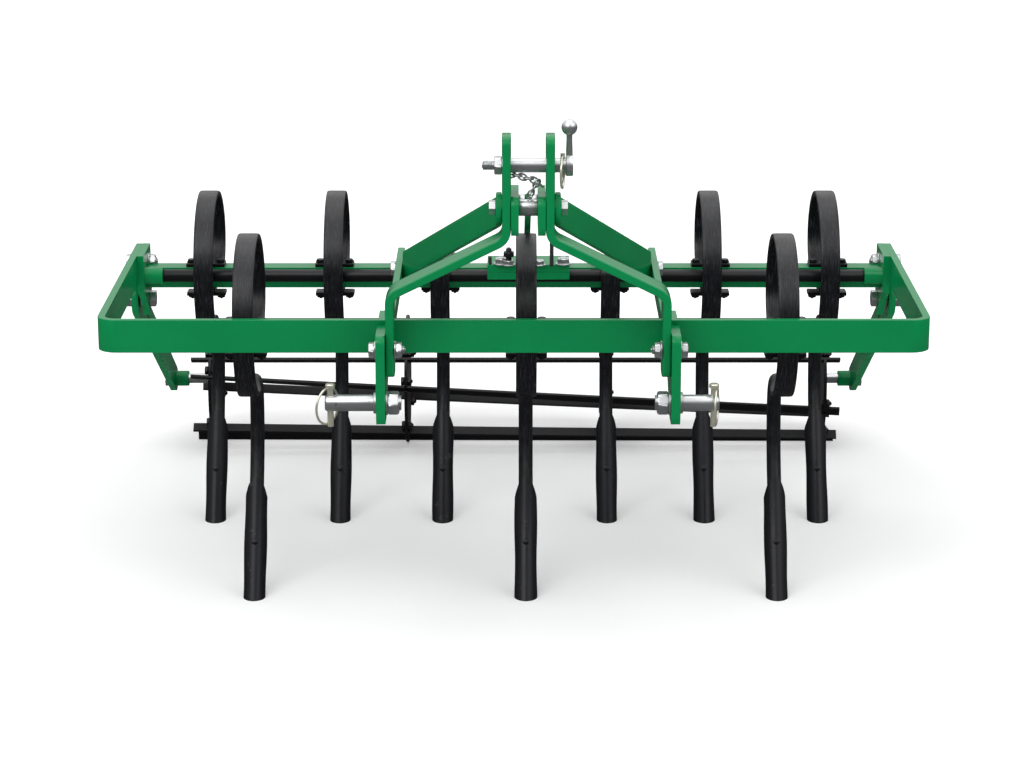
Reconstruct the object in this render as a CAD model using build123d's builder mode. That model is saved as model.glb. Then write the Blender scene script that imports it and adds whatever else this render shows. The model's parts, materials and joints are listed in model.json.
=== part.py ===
from build123d import *
import os
from math import atan2, cos, degrees, hypot, radians, sin, sqrt

os.makedirs("parts", exist_ok=True)

# Spring tine cultivator, millimetres. X runs across the machine, -Y points to
# the tractor, +Z is up. The origin is on the ground, under the box's centre.

# Frame hoop: one flat bar on edge, bent round both front corners.
HOOP_FRONT_Y = -453.5
FRAME_WIDTH = 1110.0
HOOP_LENGTH = 457.0
HOOP_TOP_Z = 425.0
HOOP_HEIGHT = 45.0
HOOP_THICK = 10.0
HOOP_CORNER_R = 26.0

# Tine beams: two square tubes across the frame, and a rod before the rear one.
BEAM_SIZE = 30.0
BEAM_WALL = 3.0
BEAM_TOP_Z = 401.5
FRONT_BEAM_SETBACK = 70.0
ROW_PITCH = 345.0
ROD_DIA = 18.0
ROD_GAP = 3.0
ROD_BOSS_DIA = 23.8
ROD_BOSS_LENGTH = 26.0
SHAFT_CLEARANCE = 0.05
SLOT_CLEARANCE = 0.3

# Lower hitch: plates notched over the hoop and the front beam, with pins.
HITCH_X = 19.0
HITCH_SPAN = 400.0
HITCH_PLATE_THICK = 12.0
HITCH_PLATE_FRONT = 68.0
HITCH_PLATE_BACK = 89.0
HITCH_PLATE_TOP_Z = 418.5
HITCH_PLATE_FOOT_Z = 298.0
HITCH_CORNER_R = 12.0
LOWER_PIN_DIA = 22.0
LOWER_STUD_DIA = 20.0
LOWER_PIN_Z = 324.0
LOWER_PIN_SETBACK = 45.0
PIN_NUT_DIA = 34.0
PIN_NUT_LENGTH = 18.0

# Headstock: two bent flat bars, bolted to the hitch plates.
HEADSTOCK_DEPTH = 50.0
HEADSTOCK_THICK = 12.0
MAST_GAP = 45.0
MAST_TOP_Z = 679.0
MAST_BEND_SHARE = 0.468
LEG_BEND_SHARE = 0.17
LEG_FOOT_DROP = 66.0
LEG_BEND_R = 20.0
TOP_PIN_DIA = 19.0
TOP_PIN_SHARE = 0.843
TOP_PIN_LEFT = 57.0
TOP_PIN_RIGHT = 48.0
TOP_PIN_HEAD_DIA = 28.0
TOP_PIN_HEAD_LENGTH = 10.0
HANDLE_DIA = 9.0
HANDLE_RISE = 50.0
KNOB_DIA = 21.0

# Mast lugs between the cheeks, with their bolts and spacers.
LUG_THICK = 10.0
LUG_BACK = 50.0
LUG_ABOVE_BOLT = 17.0
LUG_BELOW_BOLT = 35.0
LUG_CORNER_R = 14.0
MAST_BOLT_DIA = 12.0
MAST_BOLT_SHARE = 0.622
REAR_BOLT_SETBACK = 33.0
REAR_BOLT_DROP = 6.0
SPACER_DIA = 22.0
BOLT_HEAD_DIA = 21.0
BOLT_HEAD_LENGTH = 9.0

# Rear struts, stringers over the beams, centre strut and its clamp.
STRUT_WIDTH = 40.0
STRUT_THICK = 8.0
STRUT_TAB = 24.0
STRUT_BEND_R = 10.0
STRUT_REAR_SETBACK = 348.0
STRINGER_THICK = 10.0
STRINGER_END_SETBACK = 430.0
CENTRE_STRUT_THICK = 8.0
CENTRE_STRUT_EYE_R = 12.0
CENTRE_FOOT_DEPTH = 16.0
CENTRE_FOOT_HEIGHT = 12.0
CENTRE_PLATE_LEFT = -38.0
CENTRE_PLATE_RIGHT = 81.0
CENTRE_PLATE_THICK = 11.0
CENTRE_BAR_HEIGHT = 11.0
CENTRE_BAR_DEPTH = 8.0

# Spring tines: a flat strip ring, drawn down to a round shank.
STRIP_WIDTH = 28.0
STRIP_THICK = 8.0
RING_MEAN_R = 108.0
RING_SETBACK = 60.0
TAIL_BEND_R = 50.0
TAIL_FRONT = 22.0
HOOK_FRONT_R = 90.0
DRAW_LENGTH = 38.0
SHANK_DIA = 20.0
SHANK_BEND_R = 38.0
SHANK_CURVE_R = 200.0
SHARE_ANGLE = 30.0
SHARE_LENGTH = 168.0
SHARE_POINT = 30.0
SHARE_THICK = 8.0
TIP_FROM_RING = 48.0
SHANK_STOP = 55.0
DRAW_CORNER = 30.0

# Tine clamps above and below the beams.
CLAMP_WIDTH = 56.0
CLAMP_DEPTH = 26.0
CLAMP_THICK = 5.0

# Roller cage, its arms and the rear brackets.
ROLLER_R = 104.0
ROLLER_Y = 417.5
ROLLER_MID_X = 3.5
DISC_THICK = 5.0
BAR_INSET = 34.5
BAR_DEPTH = 15.0
BAR_THICK = 4.0
AXLE_DIA = 16.0
AXLE_FLANGE_DIA = 70.0
AXLE_FLANGE_THICK = 6.0
AXLE_NUT_DIA = 26.0
AXLE_NUT_LENGTH = 8.0
ARM_THICK = 10.0
ARM_GAP = 5.0
ARM_HEAD_R = 25.0
ARM_FOOT_R = 20.0
BOSS_DIA = 25.0
BOSS_LENGTH = 30.0
PIVOT_SETBACK = 435.0
PIVOT_Z = 347.0
PIVOT_DIA = 16.0
PIVOT_HEAD_DIA = 26.0
PIVOT_HEAD_LENGTH = 9.0
BRACKET_THICK = 10.0
BRACKET_FRONT = 372.0
BRACKET_TOE = 3.0

# Places that follow from the sizes above.
FRONT_BEAM_Y = HOOP_FRONT_Y + FRONT_BEAM_SETBACK
REAR_BEAM_Y = FRONT_BEAM_Y + ROW_PITCH
BEAM_Z = BEAM_TOP_Z - BEAM_SIZE / 2
BEAM_BOTTOM_Z = BEAM_TOP_Z - BEAM_SIZE
HOOP_BOTTOM_Z = HOOP_TOP_Z - HOOP_HEIGHT
HOOP_INNER_X = FRAME_WIDTH / 2 - HOOP_THICK
HOOP_BACK_Y = HOOP_FRONT_Y + HOOP_LENGTH
BRACKET_INNER_X = HOOP_INNER_X - BRACKET_THICK
ROD_Y = REAR_BEAM_Y - BEAM_SIZE / 2 - ROD_GAP - ROD_DIA / 2
ROD_Z = BEAM_TOP_Z - ROD_DIA / 2
MAST_RISE = MAST_TOP_Z - HOOP_TOP_Z
MAST_BEND_Z = HOOP_TOP_Z + MAST_BEND_SHARE * MAST_RISE
LEG_BEND_Z = HOOP_TOP_Z + LEG_BEND_SHARE * MAST_RISE
LEG_FOOT_Z = HOOP_TOP_Z - LEG_FOOT_DROP
TOP_PIN_Z = HOOP_TOP_Z + TOP_PIN_SHARE * MAST_RISE
MAST_BOLT_Z = HOOP_TOP_Z + MAST_BOLT_SHARE * MAST_RISE
REAR_BOLT_Z = MAST_BOLT_Z - REAR_BOLT_DROP
LUG_TOP_Z = MAST_BOLT_Z + LUG_ABOVE_BOLT
LUG_BOTTOM_Z = MAST_BOLT_Z - LUG_BELOW_BOLT
HEAD_Y = HOOP_FRONT_Y - HEADSTOCK_DEPTH / 2
LOWER_PIN_Y = HOOP_FRONT_Y - LOWER_PIN_SETBACK
PLATE_INNER = HITCH_SPAN / 2 - HITCH_PLATE_THICK
CHEEK_INNER = MAST_GAP / 2
CHEEK_OUTER = CHEEK_INNER + HEADSTOCK_THICK
LUG_INNER = CHEEK_INNER - LUG_THICK
REAR_BOLT_Y = HOOP_FRONT_Y + REAR_BOLT_SETBACK
STRINGER_INNER = PLATE_INNER - STRINGER_THICK
PIVOT_Y = HOOP_FRONT_Y + PIVOT_SETBACK
ARM_INNER_X = HOOP_INNER_X + ARM_GAP
ARM_OUTER_X = ARM_INNER_X + ARM_THICK
BAR_LENGTH = FRAME_WIDTH - 2 * BAR_INSET

# Sides: (name, sign along X, reach of the lower pin beyond its plate).
SIDE_TABLE = [
    ("left", -1, 68.0),
    ("right", 1, 52.0),
]

# Beams: (node, Y, half length).
BEAM_TABLE = [
    ("front_beam", FRONT_BEAM_Y, HOOP_INNER_X),
    ("rear_beam", REAR_BEAM_Y, BRACKET_INNER_X),
]

# Tines: (node, beam Y, X as a share of the hoop's inner half width, top of
# the ring, full ring or only its front half).
FRONT_RING_TOP = 511.0
REAR_RING_TOP = 498.0
TINE_TABLE = [
    ("tine_front_left", FRONT_BEAM_Y, -0.664, FRONT_RING_TOP, True),
    ("tine_front_centre", FRONT_BEAM_Y, 0.0312, FRONT_RING_TOP, True),
    ("tine_front_right", FRONT_BEAM_Y, 0.674, FRONT_RING_TOP, True),
    ("tine_rear_far_left", REAR_BEAM_Y, -0.824, REAR_RING_TOP, True),
    ("tine_rear_left", REAR_BEAM_Y, -0.479, REAR_RING_TOP, True),
    ("tine_rear_inner_left", REAR_BEAM_Y, -0.196, REAR_RING_TOP, False),
    ("tine_rear_inner_right", REAR_BEAM_Y, 0.258, REAR_RING_TOP, False),
    ("tine_rear_right", REAR_BEAM_Y, 0.527, REAR_RING_TOP, True),
    ("tine_rear_far_right", REAR_BEAM_Y, 0.841, REAR_RING_TOP, True),
]

# Cage bars: (angle at the left end, angle at the right end), degrees from
# straight ahead, upwards positive.
BAR_TABLE = [
    (80.0, 80.0),
    (35.0, 35.0),
    (17.0, -18.0),
    (-40.0, -56.0),
    (-90.0, -84.0),
    (203.0, 232.0),
    (162.0, 162.0),
    (124.0, 124.0),
]
BAR_LEFT_X = ROLLER_MID_X - BAR_LENGTH / 2

# Cage discs: X of each from the cage's middle, as a share of half its length.
DISC_SHARES = [-0.9415, -0.338, 0.281, 0.953]
DISC_X = [ROLLER_MID_X + share * BAR_LENGTH / 2 for share in DISC_SHARES]


def save(part, node):
    """Label a sub-part and write it to its own STEP file."""
    part.label = node
    export_step(part, f"parts/{node}.step")


# Frame
with BuildPart() as frame_hoop:
    with BuildSketch(Plane.XY.offset(HOOP_BOTTOM_Z)):
        with BuildLine():
            half = FRAME_WIDTH / 2 - HOOP_THICK / 2
            front = HOOP_FRONT_Y + HOOP_THICK / 2
            FilletPolyline(
                (-half, HOOP_BACK_Y),
                (-half, front),
                (half, front),
                (half, HOOP_BACK_Y),
                radius=HOOP_CORNER_R - HOOP_THICK / 2,
            )
        trace(line_width=HOOP_THICK)
    extrude(amount=HOOP_HEIGHT)
save(frame_hoop.part, "frame_hoop")

for node, beam_y, half in BEAM_TABLE:
    with BuildPart() as beam:
        with BuildSketch(Plane.YZ.offset(-half)):
            with Locations((beam_y, BEAM_Z)):
                Rectangle(BEAM_SIZE, BEAM_SIZE)
                bore = BEAM_SIZE - 2 * BEAM_WALL
                Rectangle(bore, bore, mode=Mode.SUBTRACT)
        extrude(amount=2 * half)
    save(beam.part, node)

with BuildPart() as rear_rod:
    with Locations((0, ROD_Y, ROD_Z)):
        Cylinder(ROD_DIA / 2, 2 * BRACKET_INNER_X, rotation=(0, 90, 0))
save(rear_rod.part, "rear_rod")

# End brackets: plates inside the rails, carrying beam, rod bosses and arms.
with BuildPart() as end_brackets:
    for side, sign, reach in SIDE_TABLE:
        with BuildSketch(Plane.YZ.offset(sign * BRACKET_INNER_X)):
            with BuildLine():
                front = HOOP_FRONT_Y + BRACKET_FRONT
                Polyline(
                    (front, HOOP_TOP_Z),
                    (HOOP_BACK_Y, HOOP_TOP_Z),
                    (HOOP_BACK_Y + BRACKET_TOE, PIVOT_Z),
                    (PIVOT_Y, PIVOT_Z - ARM_HEAD_R),
                    (PIVOT_Y - ARM_HEAD_R, PIVOT_Z),
                    (front, BEAM_BOTTOM_Z),
                    close=True,
                )
            make_face()
            with Locations((PIVOT_Y, PIVOT_Z)):
                Circle(PIVOT_DIA / 2 + SHAFT_CLEARANCE, mode=Mode.SUBTRACT)
        extrude(amount=sign * BRACKET_THICK)
        with BuildSketch(Plane.YZ.offset(sign * BRACKET_INNER_X)):
            with Locations((ROD_Y, ROD_Z)):
                Circle(ROD_BOSS_DIA / 2)
                Circle(ROD_DIA / 2 + SHAFT_CLEARANCE, mode=Mode.SUBTRACT)
        extrude(amount=-sign * ROD_BOSS_LENGTH)
save(end_brackets.part, "end_brackets")

# Arm pivots: bolts through bracket and arm, with a washer between them.
with BuildPart() as arm_pivots:
    for side, sign, reach in SIDE_TABLE:
        with BuildSketch(Plane.YZ.offset(sign * BRACKET_INNER_X)):
            with Locations((PIVOT_Y, PIVOT_Z)):
                Circle(PIVOT_DIA / 2)
        extrude(amount=sign * (ARM_OUTER_X - BRACKET_INNER_X))
        with BuildSketch(Plane.YZ.offset(sign * ARM_OUTER_X)):
            with Locations((PIVOT_Y, PIVOT_Z)):
                RegularPolygon(PIVOT_HEAD_DIA / 2, 6)
        extrude(amount=sign * PIVOT_HEAD_LENGTH)
        with BuildSketch(Plane.YZ.offset(sign * BRACKET_INNER_X)):
            with Locations((PIVOT_Y, PIVOT_Z)):
                RegularPolygon(PIVOT_HEAD_DIA / 2, 6)
        extrude(amount=-sign * PIVOT_HEAD_LENGTH)
        with BuildSketch(Plane.YZ.offset(sign * HOOP_INNER_X)):
            with Locations((PIVOT_Y, PIVOT_Z)):
                Circle(PIVOT_HEAD_DIA / 2)
        extrude(amount=sign * (ARM_GAP - SLOT_CLEARANCE))
save(arm_pivots.part, "arm_pivots")

# Roller arms, each with the boss for its stub axle.
with BuildPart() as roller_arms:
    for side, sign, reach in SIDE_TABLE:
        with BuildSketch(Plane.YZ.offset(sign * ARM_INNER_X)):
            with Locations((PIVOT_Y, PIVOT_Z)):
                Circle(ARM_HEAD_R)
            with Locations((ROLLER_Y, ROLLER_R)):
                Circle(ARM_FOOT_R)
            make_hull()
        extrude(amount=sign * ARM_THICK)
        with BuildSketch(Plane.YZ.offset(sign * ARM_OUTER_X)):
            with Locations((ROLLER_Y, ROLLER_R)):
                Circle(BOSS_DIA / 2)
        extrude(amount=-sign * BOSS_LENGTH)
        with BuildSketch(Plane.YZ.offset(sign * ARM_OUTER_X)):
            with Locations((ROLLER_Y, ROLLER_R)):
                Circle(AXLE_DIA / 2 + SHAFT_CLEARANCE)
        extrude(amount=-sign * BOSS_LENGTH, mode=Mode.SUBTRACT)
        with BuildSketch(Plane.YZ.offset(sign * ARM_OUTER_X)):
            with Locations((PIVOT_Y, PIVOT_Z)):
                Circle(PIVOT_DIA / 2 + SHAFT_CLEARANCE)
        extrude(amount=-sign * ARM_THICK, mode=Mode.SUBTRACT)
save(roller_arms.part, "roller_arms")

for side, sign, reach in SIDE_TABLE:
    # Hitch plate: open notch over the hoop, window round the front beam.
    with BuildPart() as hitch_plate:
        with BuildSketch(Plane.YZ.offset(HITCH_X + sign * PLATE_INNER)):
            with BuildLine():
                nose = HOOP_FRONT_Y - HITCH_PLATE_FRONT
                tail = HOOP_FRONT_Y + HITCH_PLATE_BACK
                shoulder = HITCH_PLATE_FRONT - LOWER_PIN_SETBACK
                Polyline(
                    (nose, HITCH_PLATE_TOP_Z),
                    (nose, HITCH_PLATE_FOOT_Z),
                    (LOWER_PIN_Y + shoulder, HITCH_PLATE_FOOT_Z),
                    (tail, BEAM_BOTTOM_Z - HITCH_PLATE_THICK),
                    (tail, HITCH_PLATE_TOP_Z),
                    close=True,
                )
            plate_face = make_face()
            fillet(plate_face.vertices(), radius=HITCH_CORNER_R)
            notch = HOOP_THICK + 2 * SLOT_CLEARANCE
            notch_y = HOOP_FRONT_Y + HOOP_THICK / 2
            notch_z = HOOP_TOP_Z - HOOP_HEIGHT / 2
            with Locations((notch_y, notch_z)):
                notch_height = HOOP_HEIGHT + 2 * SLOT_CLEARANCE
                Rectangle(notch, notch_height, mode=Mode.SUBTRACT)
            with Locations((FRONT_BEAM_Y, BEAM_Z)):
                window = BEAM_SIZE + 2 * SLOT_CLEARANCE
                Rectangle(window, window, mode=Mode.SUBTRACT)
            with Locations((LOWER_PIN_Y, LOWER_PIN_Z)):
                bore = LOWER_STUD_DIA / 2 + SHAFT_CLEARANCE
                Circle(bore, mode=Mode.SUBTRACT)
        extrude(amount=sign * HITCH_PLATE_THICK)
    save(hitch_plate.part, f"hitch_plate_{side}")

    # Lower link pin: free end outside, stud through the plate, nut inside.
    with BuildPart() as lower_pin:
        inner = HITCH_X + sign * PLATE_INNER
        with BuildSketch(Plane.YZ.offset(HITCH_X + sign * HITCH_SPAN / 2)):
            with Locations((LOWER_PIN_Y, LOWER_PIN_Z)):
                Circle(LOWER_PIN_DIA / 2)
        extrude(amount=sign * reach)
        with BuildSketch(Plane.YZ.offset(inner)):
            with Locations((LOWER_PIN_Y, LOWER_PIN_Z)):
                Circle(LOWER_STUD_DIA / 2)
        extrude(amount=sign * HITCH_PLATE_THICK)
        with BuildSketch(Plane.YZ.offset(inner)):
            with Locations((LOWER_PIN_Y, LOWER_PIN_Z)):
                RegularPolygon(PIN_NUT_DIA / 2, 6)
        extrude(amount=-sign * PIN_NUT_LENGTH)
    save(lower_pin.part, f"lower_pin_{side}")

    # Headstock side: mast cheek, slanted brace and leg from one flat bar.
    with BuildPart() as headstock:
        with BuildSketch(Plane.XZ.offset(-HOOP_FRONT_Y)):
            cheek = HITCH_X + sign * (CHEEK_INNER + HEADSTOCK_THICK / 2)
            leg = HITCH_X + sign * (PLATE_INNER - HEADSTOCK_THICK / 2)
            with BuildLine():
                FilletPolyline(
                    (cheek, MAST_TOP_Z),
                    (cheek, MAST_BEND_Z),
                    (leg, LEG_BEND_Z),
                    (leg, LEG_FOOT_Z),
                    radius=LEG_BEND_R,
                )
            trace(line_width=HEADSTOCK_THICK)
        extrude(amount=HEADSTOCK_DEPTH)
        across = 2 * HITCH_SPAN
        with Locations((HITCH_X, HEAD_Y, TOP_PIN_Z)):
            bore = TOP_PIN_DIA / 2 + SHAFT_CLEARANCE
            Cylinder(bore, across, rotation=(0, 90, 0), mode=Mode.SUBTRACT)
        with Locations((HITCH_X, HEAD_Y, MAST_BOLT_Z)):
            bore = MAST_BOLT_DIA / 2 + SHAFT_CLEARANCE
            Cylinder(bore, across, rotation=(0, 90, 0), mode=Mode.SUBTRACT)
    save(headstock.part, f"headstock_{side}")

    # Stringer: flat bar on edge, resting on both beams.
    with BuildPart() as stringer:
        height = HOOP_TOP_Z - BEAM_TOP_Z
        start = HOOP_FRONT_Y + HOOP_THICK
        stop = HOOP_FRONT_Y + STRINGER_END_SETBACK
        with BuildSketch(Plane.YZ.offset(HITCH_X + sign * STRINGER_INNER)):
            with Locations(((start + stop) / 2, BEAM_TOP_Z + height / 2)):
                Rectangle(stop - start, height)
        extrude(amount=sign * STRINGER_THICK)
    save(stringer.part, f"stringer_{side}")

    # Strut: flat bar from outside the cheek to inside the stringer.
    top_y = HEAD_Y
    low_y = HOOP_FRONT_Y + STRUT_REAR_SETBACK
    low_z = (HOOP_TOP_Z + BEAM_TOP_Z) / 2
    span = hypot(low_y - top_y, low_z - MAST_BOLT_Z)
    along_y = (low_y - top_y) / span
    along_z = (low_z - MAST_BOLT_Z) / span
    strut_plane = Plane(
        origin=(HITCH_X, top_y, MAST_BOLT_Z),
        x_dir=(0, along_y, along_z),
        z_dir=(0, along_z, -along_y),
    )
    with BuildPart() as strut:
        with BuildSketch(strut_plane.offset(-STRUT_WIDTH / 2)):
            top_x = sign * (CHEEK_OUTER + STRUT_THICK / 2)
            low_x = sign * (STRINGER_INNER - STRUT_THICK / 2)
            with BuildLine():
                FilletPolyline(
                    (-STRUT_TAB, top_x),
                    (STRUT_TAB, top_x),
                    (span - STRUT_TAB, low_x),
                    (span + STRUT_TAB, low_x),
                    radius=STRUT_BEND_R,
                )
            trace(line_width=STRUT_THICK)
        extrude(amount=STRUT_WIDTH)
        with Locations((HITCH_X, HEAD_Y, MAST_BOLT_Z)):
            bore = MAST_BOLT_DIA / 2 + SHAFT_CLEARANCE
            Cylinder(bore, across, rotation=(0, 90, 0), mode=Mode.SUBTRACT)
    save(strut.part, f"strut_{side}")

# Mast lugs inside the cheeks.
with BuildPart() as mast_lugs:
    for side, sign, reach in SIDE_TABLE:
        with BuildSketch(Plane.YZ.offset(HITCH_X + sign * LUG_INNER)):
            lug_front = HOOP_FRONT_Y - HEADSTOCK_DEPTH
            lug_length = HEADSTOCK_DEPTH + LUG_BACK
            lug_height = LUG_TOP_Z - LUG_BOTTOM_Z
            lug_z = (LUG_TOP_Z + LUG_BOTTOM_Z) / 2
            with Locations((lug_front + lug_length / 2, lug_z)):
                lug_face = Rectangle(lug_length, lug_height)
            fillet(lug_face.vertices(), radius=LUG_CORNER_R)
            with Locations((HEAD_Y, MAST_BOLT_Z), (REAR_BOLT_Y, REAR_BOLT_Z)):
                bore = MAST_BOLT_DIA / 2 + SHAFT_CLEARANCE
                Circle(bore, mode=Mode.SUBTRACT)
        extrude(amount=sign * LUG_THICK)
save(mast_lugs.part, "mast_lugs")

# Spacer tubes between the lugs, the rear one split by the centre strut.
with BuildPart() as mast_spacers:
    with BuildSketch(Plane.YZ.offset(HITCH_X - LUG_INNER)):
        with Locations((HEAD_Y, MAST_BOLT_Z)):
            Circle(SPACER_DIA / 2)
            bore = MAST_BOLT_DIA / 2 + SHAFT_CLEARANCE
            Circle(bore, mode=Mode.SUBTRACT)
    extrude(amount=2 * LUG_INNER)
    for side, sign, reach in SIDE_TABLE:
        with BuildSketch(Plane.YZ.offset(HITCH_X + sign * LUG_INNER)):
            with Locations((REAR_BOLT_Y, REAR_BOLT_Z)):
                Circle(SPACER_DIA / 2)
                Circle(bore, mode=Mode.SUBTRACT)
        extrude(amount=-sign * (LUG_INNER - CENTRE_STRUT_THICK / 2))
save(mast_spacers.part, "mast_spacers")

# Mast bolts: (Y, Z, half length between the heads).
MAST_BOLT_TABLE = [
    (HEAD_Y, MAST_BOLT_Z, CHEEK_OUTER + STRUT_THICK),
    (REAR_BOLT_Y, REAR_BOLT_Z, CHEEK_INNER),
]
with BuildPart() as mast_bolts:
    for bolt_y, bolt_z, half in MAST_BOLT_TABLE:
        with BuildSketch(Plane.YZ.offset(HITCH_X - half)):
            with Locations((bolt_y, bolt_z)):
                Circle(MAST_BOLT_DIA / 2)
        extrude(amount=2 * half)
        for side, sign, reach in SIDE_TABLE:
            with BuildSketch(Plane.YZ.offset(HITCH_X + sign * half)):
                with Locations((bolt_y, bolt_z)):
                    RegularPolygon(BOLT_HEAD_DIA / 2, 6)
            extrude(amount=sign * BOLT_HEAD_LENGTH)
save(mast_bolts.part, "mast_bolts")

with BuildPart() as top_link_pin:
    with BuildSketch(Plane.YZ.offset(HITCH_X - TOP_PIN_LEFT)):
        with Locations((HEAD_Y, TOP_PIN_Z)):
            Circle(TOP_PIN_DIA / 2)
    extrude(amount=TOP_PIN_LEFT + TOP_PIN_RIGHT)
    with BuildSketch(Plane.YZ.offset(HITCH_X + TOP_PIN_RIGHT)):
        with Locations((HEAD_Y, TOP_PIN_Z)):
            Circle(TOP_PIN_HEAD_DIA / 2)
    extrude(amount=TOP_PIN_HEAD_LENGTH)
    handle_x = HITCH_X + TOP_PIN_RIGHT + TOP_PIN_HEAD_LENGTH / 2
    with BuildSketch(Plane.XY.offset(TOP_PIN_Z)):
        with Locations((handle_x, HEAD_Y)):
            Circle(HANDLE_DIA / 2)
    extrude(amount=HANDLE_RISE)
    with BuildSketch(Plane.XZ.offset(-HEAD_Y)):
        with BuildLine():
            knob_z = TOP_PIN_Z + HANDLE_RISE
            knob_r = KNOB_DIA / 2
            flat = KNOB_DIA / 5
            Polyline(
                (handle_x, knob_z - knob_r),
                (handle_x + flat, knob_z - knob_r),
                (handle_x + knob_r, knob_z - flat),
                (handle_x + knob_r, knob_z + flat),
                (handle_x + flat, knob_z + knob_r),
                (handle_x, knob_z + knob_r),
                close=True,
            )
        make_face()
    revolve(axis=Axis((handle_x, HEAD_Y, knob_z), (0, 0, 1)))
save(top_link_pin.part, "top_link_pin")

# Centre strut from the rear mast bolt to the clamp on the rear beam.
CENTRE_PLATE_TOP_Z = BEAM_TOP_Z + CENTRE_PLATE_THICK
with BuildPart() as centre_strut:
    with BuildSketch(Plane.YZ.offset(HITCH_X - CENTRE_STRUT_THICK / 2)):
        with Locations((REAR_BOLT_Y, REAR_BOLT_Z)):
            Circle(CENTRE_STRUT_EYE_R)
        foot_z = CENTRE_PLATE_TOP_Z + CENTRE_FOOT_HEIGHT / 2
        with Locations((REAR_BEAM_Y, foot_z)):
            Rectangle(CENTRE_FOOT_DEPTH, CENTRE_FOOT_HEIGHT)
        make_hull()
        with Locations((REAR_BOLT_Y, REAR_BOLT_Z)):
            bore = MAST_BOLT_DIA / 2 + SHAFT_CLEARANCE
            Circle(bore, mode=Mode.SUBTRACT)
    extrude(amount=CENTRE_STRUT_THICK)
save(centre_strut.part, "centre_strut")

# Centre clamp: a plate over the rod and beam, and a bar before the rod.
plate_width = CENTRE_PLATE_RIGHT - CENTRE_PLATE_LEFT
plate_x = (CENTRE_PLATE_RIGHT + CENTRE_PLATE_LEFT) / 2
bar_back = ROD_Y - ROD_DIA / 2 - SLOT_CLEARANCE
plate_front = bar_back - CENTRE_BAR_DEPTH
plate_back = REAR_BEAM_Y + BEAM_SIZE / 2
with BuildPart() as centre_plate:
    plate_y = (plate_front + plate_back) / 2
    with Locations((plate_x, plate_y, BEAM_TOP_Z + CENTRE_PLATE_THICK / 2)):
        Box(plate_width, plate_back - plate_front, CENTRE_PLATE_THICK)
save(centre_plate.part, "centre_plate")

with BuildPart() as centre_bar:
    bar_y = bar_back - CENTRE_BAR_DEPTH / 2
    with Locations((plate_x, bar_y, BEAM_TOP_Z - CENTRE_BAR_HEIGHT / 2)):
        Box(plate_width, CENTRE_BAR_DEPTH, CENTRE_BAR_HEIGHT)
save(centre_bar.part, "centre_bar")


def shank_frame(ground_y, start_z):
    """Return where the lower bend starts and how long the straight run is."""
    lean = radians(SHARE_ANGLE)
    bend_drop = SHANK_BEND_R + SHANK_CURVE_R * sin(lean)
    run = (start_z - bend_drop) / cos(lean)
    back = SHANK_BEND_R - SHANK_CURVE_R * (1 - cos(lean))
    return ground_y - back + run * sin(lean), run


def ground_point(beam_y):
    """Return the Y at which the shank's centre line would meet the ground."""
    face = (SHANK_DIA / 2 + SHARE_THICK) / cos(radians(SHARE_ANGLE))
    return beam_y + RING_SETBACK - TIP_FROM_RING + face


# Stations down the round shank: degrees round the lower bend, then round
# the long curve as shares of the share angle.
BEND_STEPS = [0.0, 30.0, 60.0, 90.0]
CURVE_SHARES = [0.5, 1.0]

# Arcs of the drawn end's circle, one for each side of the strip: (start, sweep).
DRAW_ARCS = [
    (-DRAW_CORNER, 2 * DRAW_CORNER),
    (DRAW_CORNER, 180 - 2 * DRAW_CORNER),
    (180 - DRAW_CORNER, 2 * DRAW_CORNER),
    (180 + DRAW_CORNER, 180 - 2 * DRAW_CORNER),
]

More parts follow.
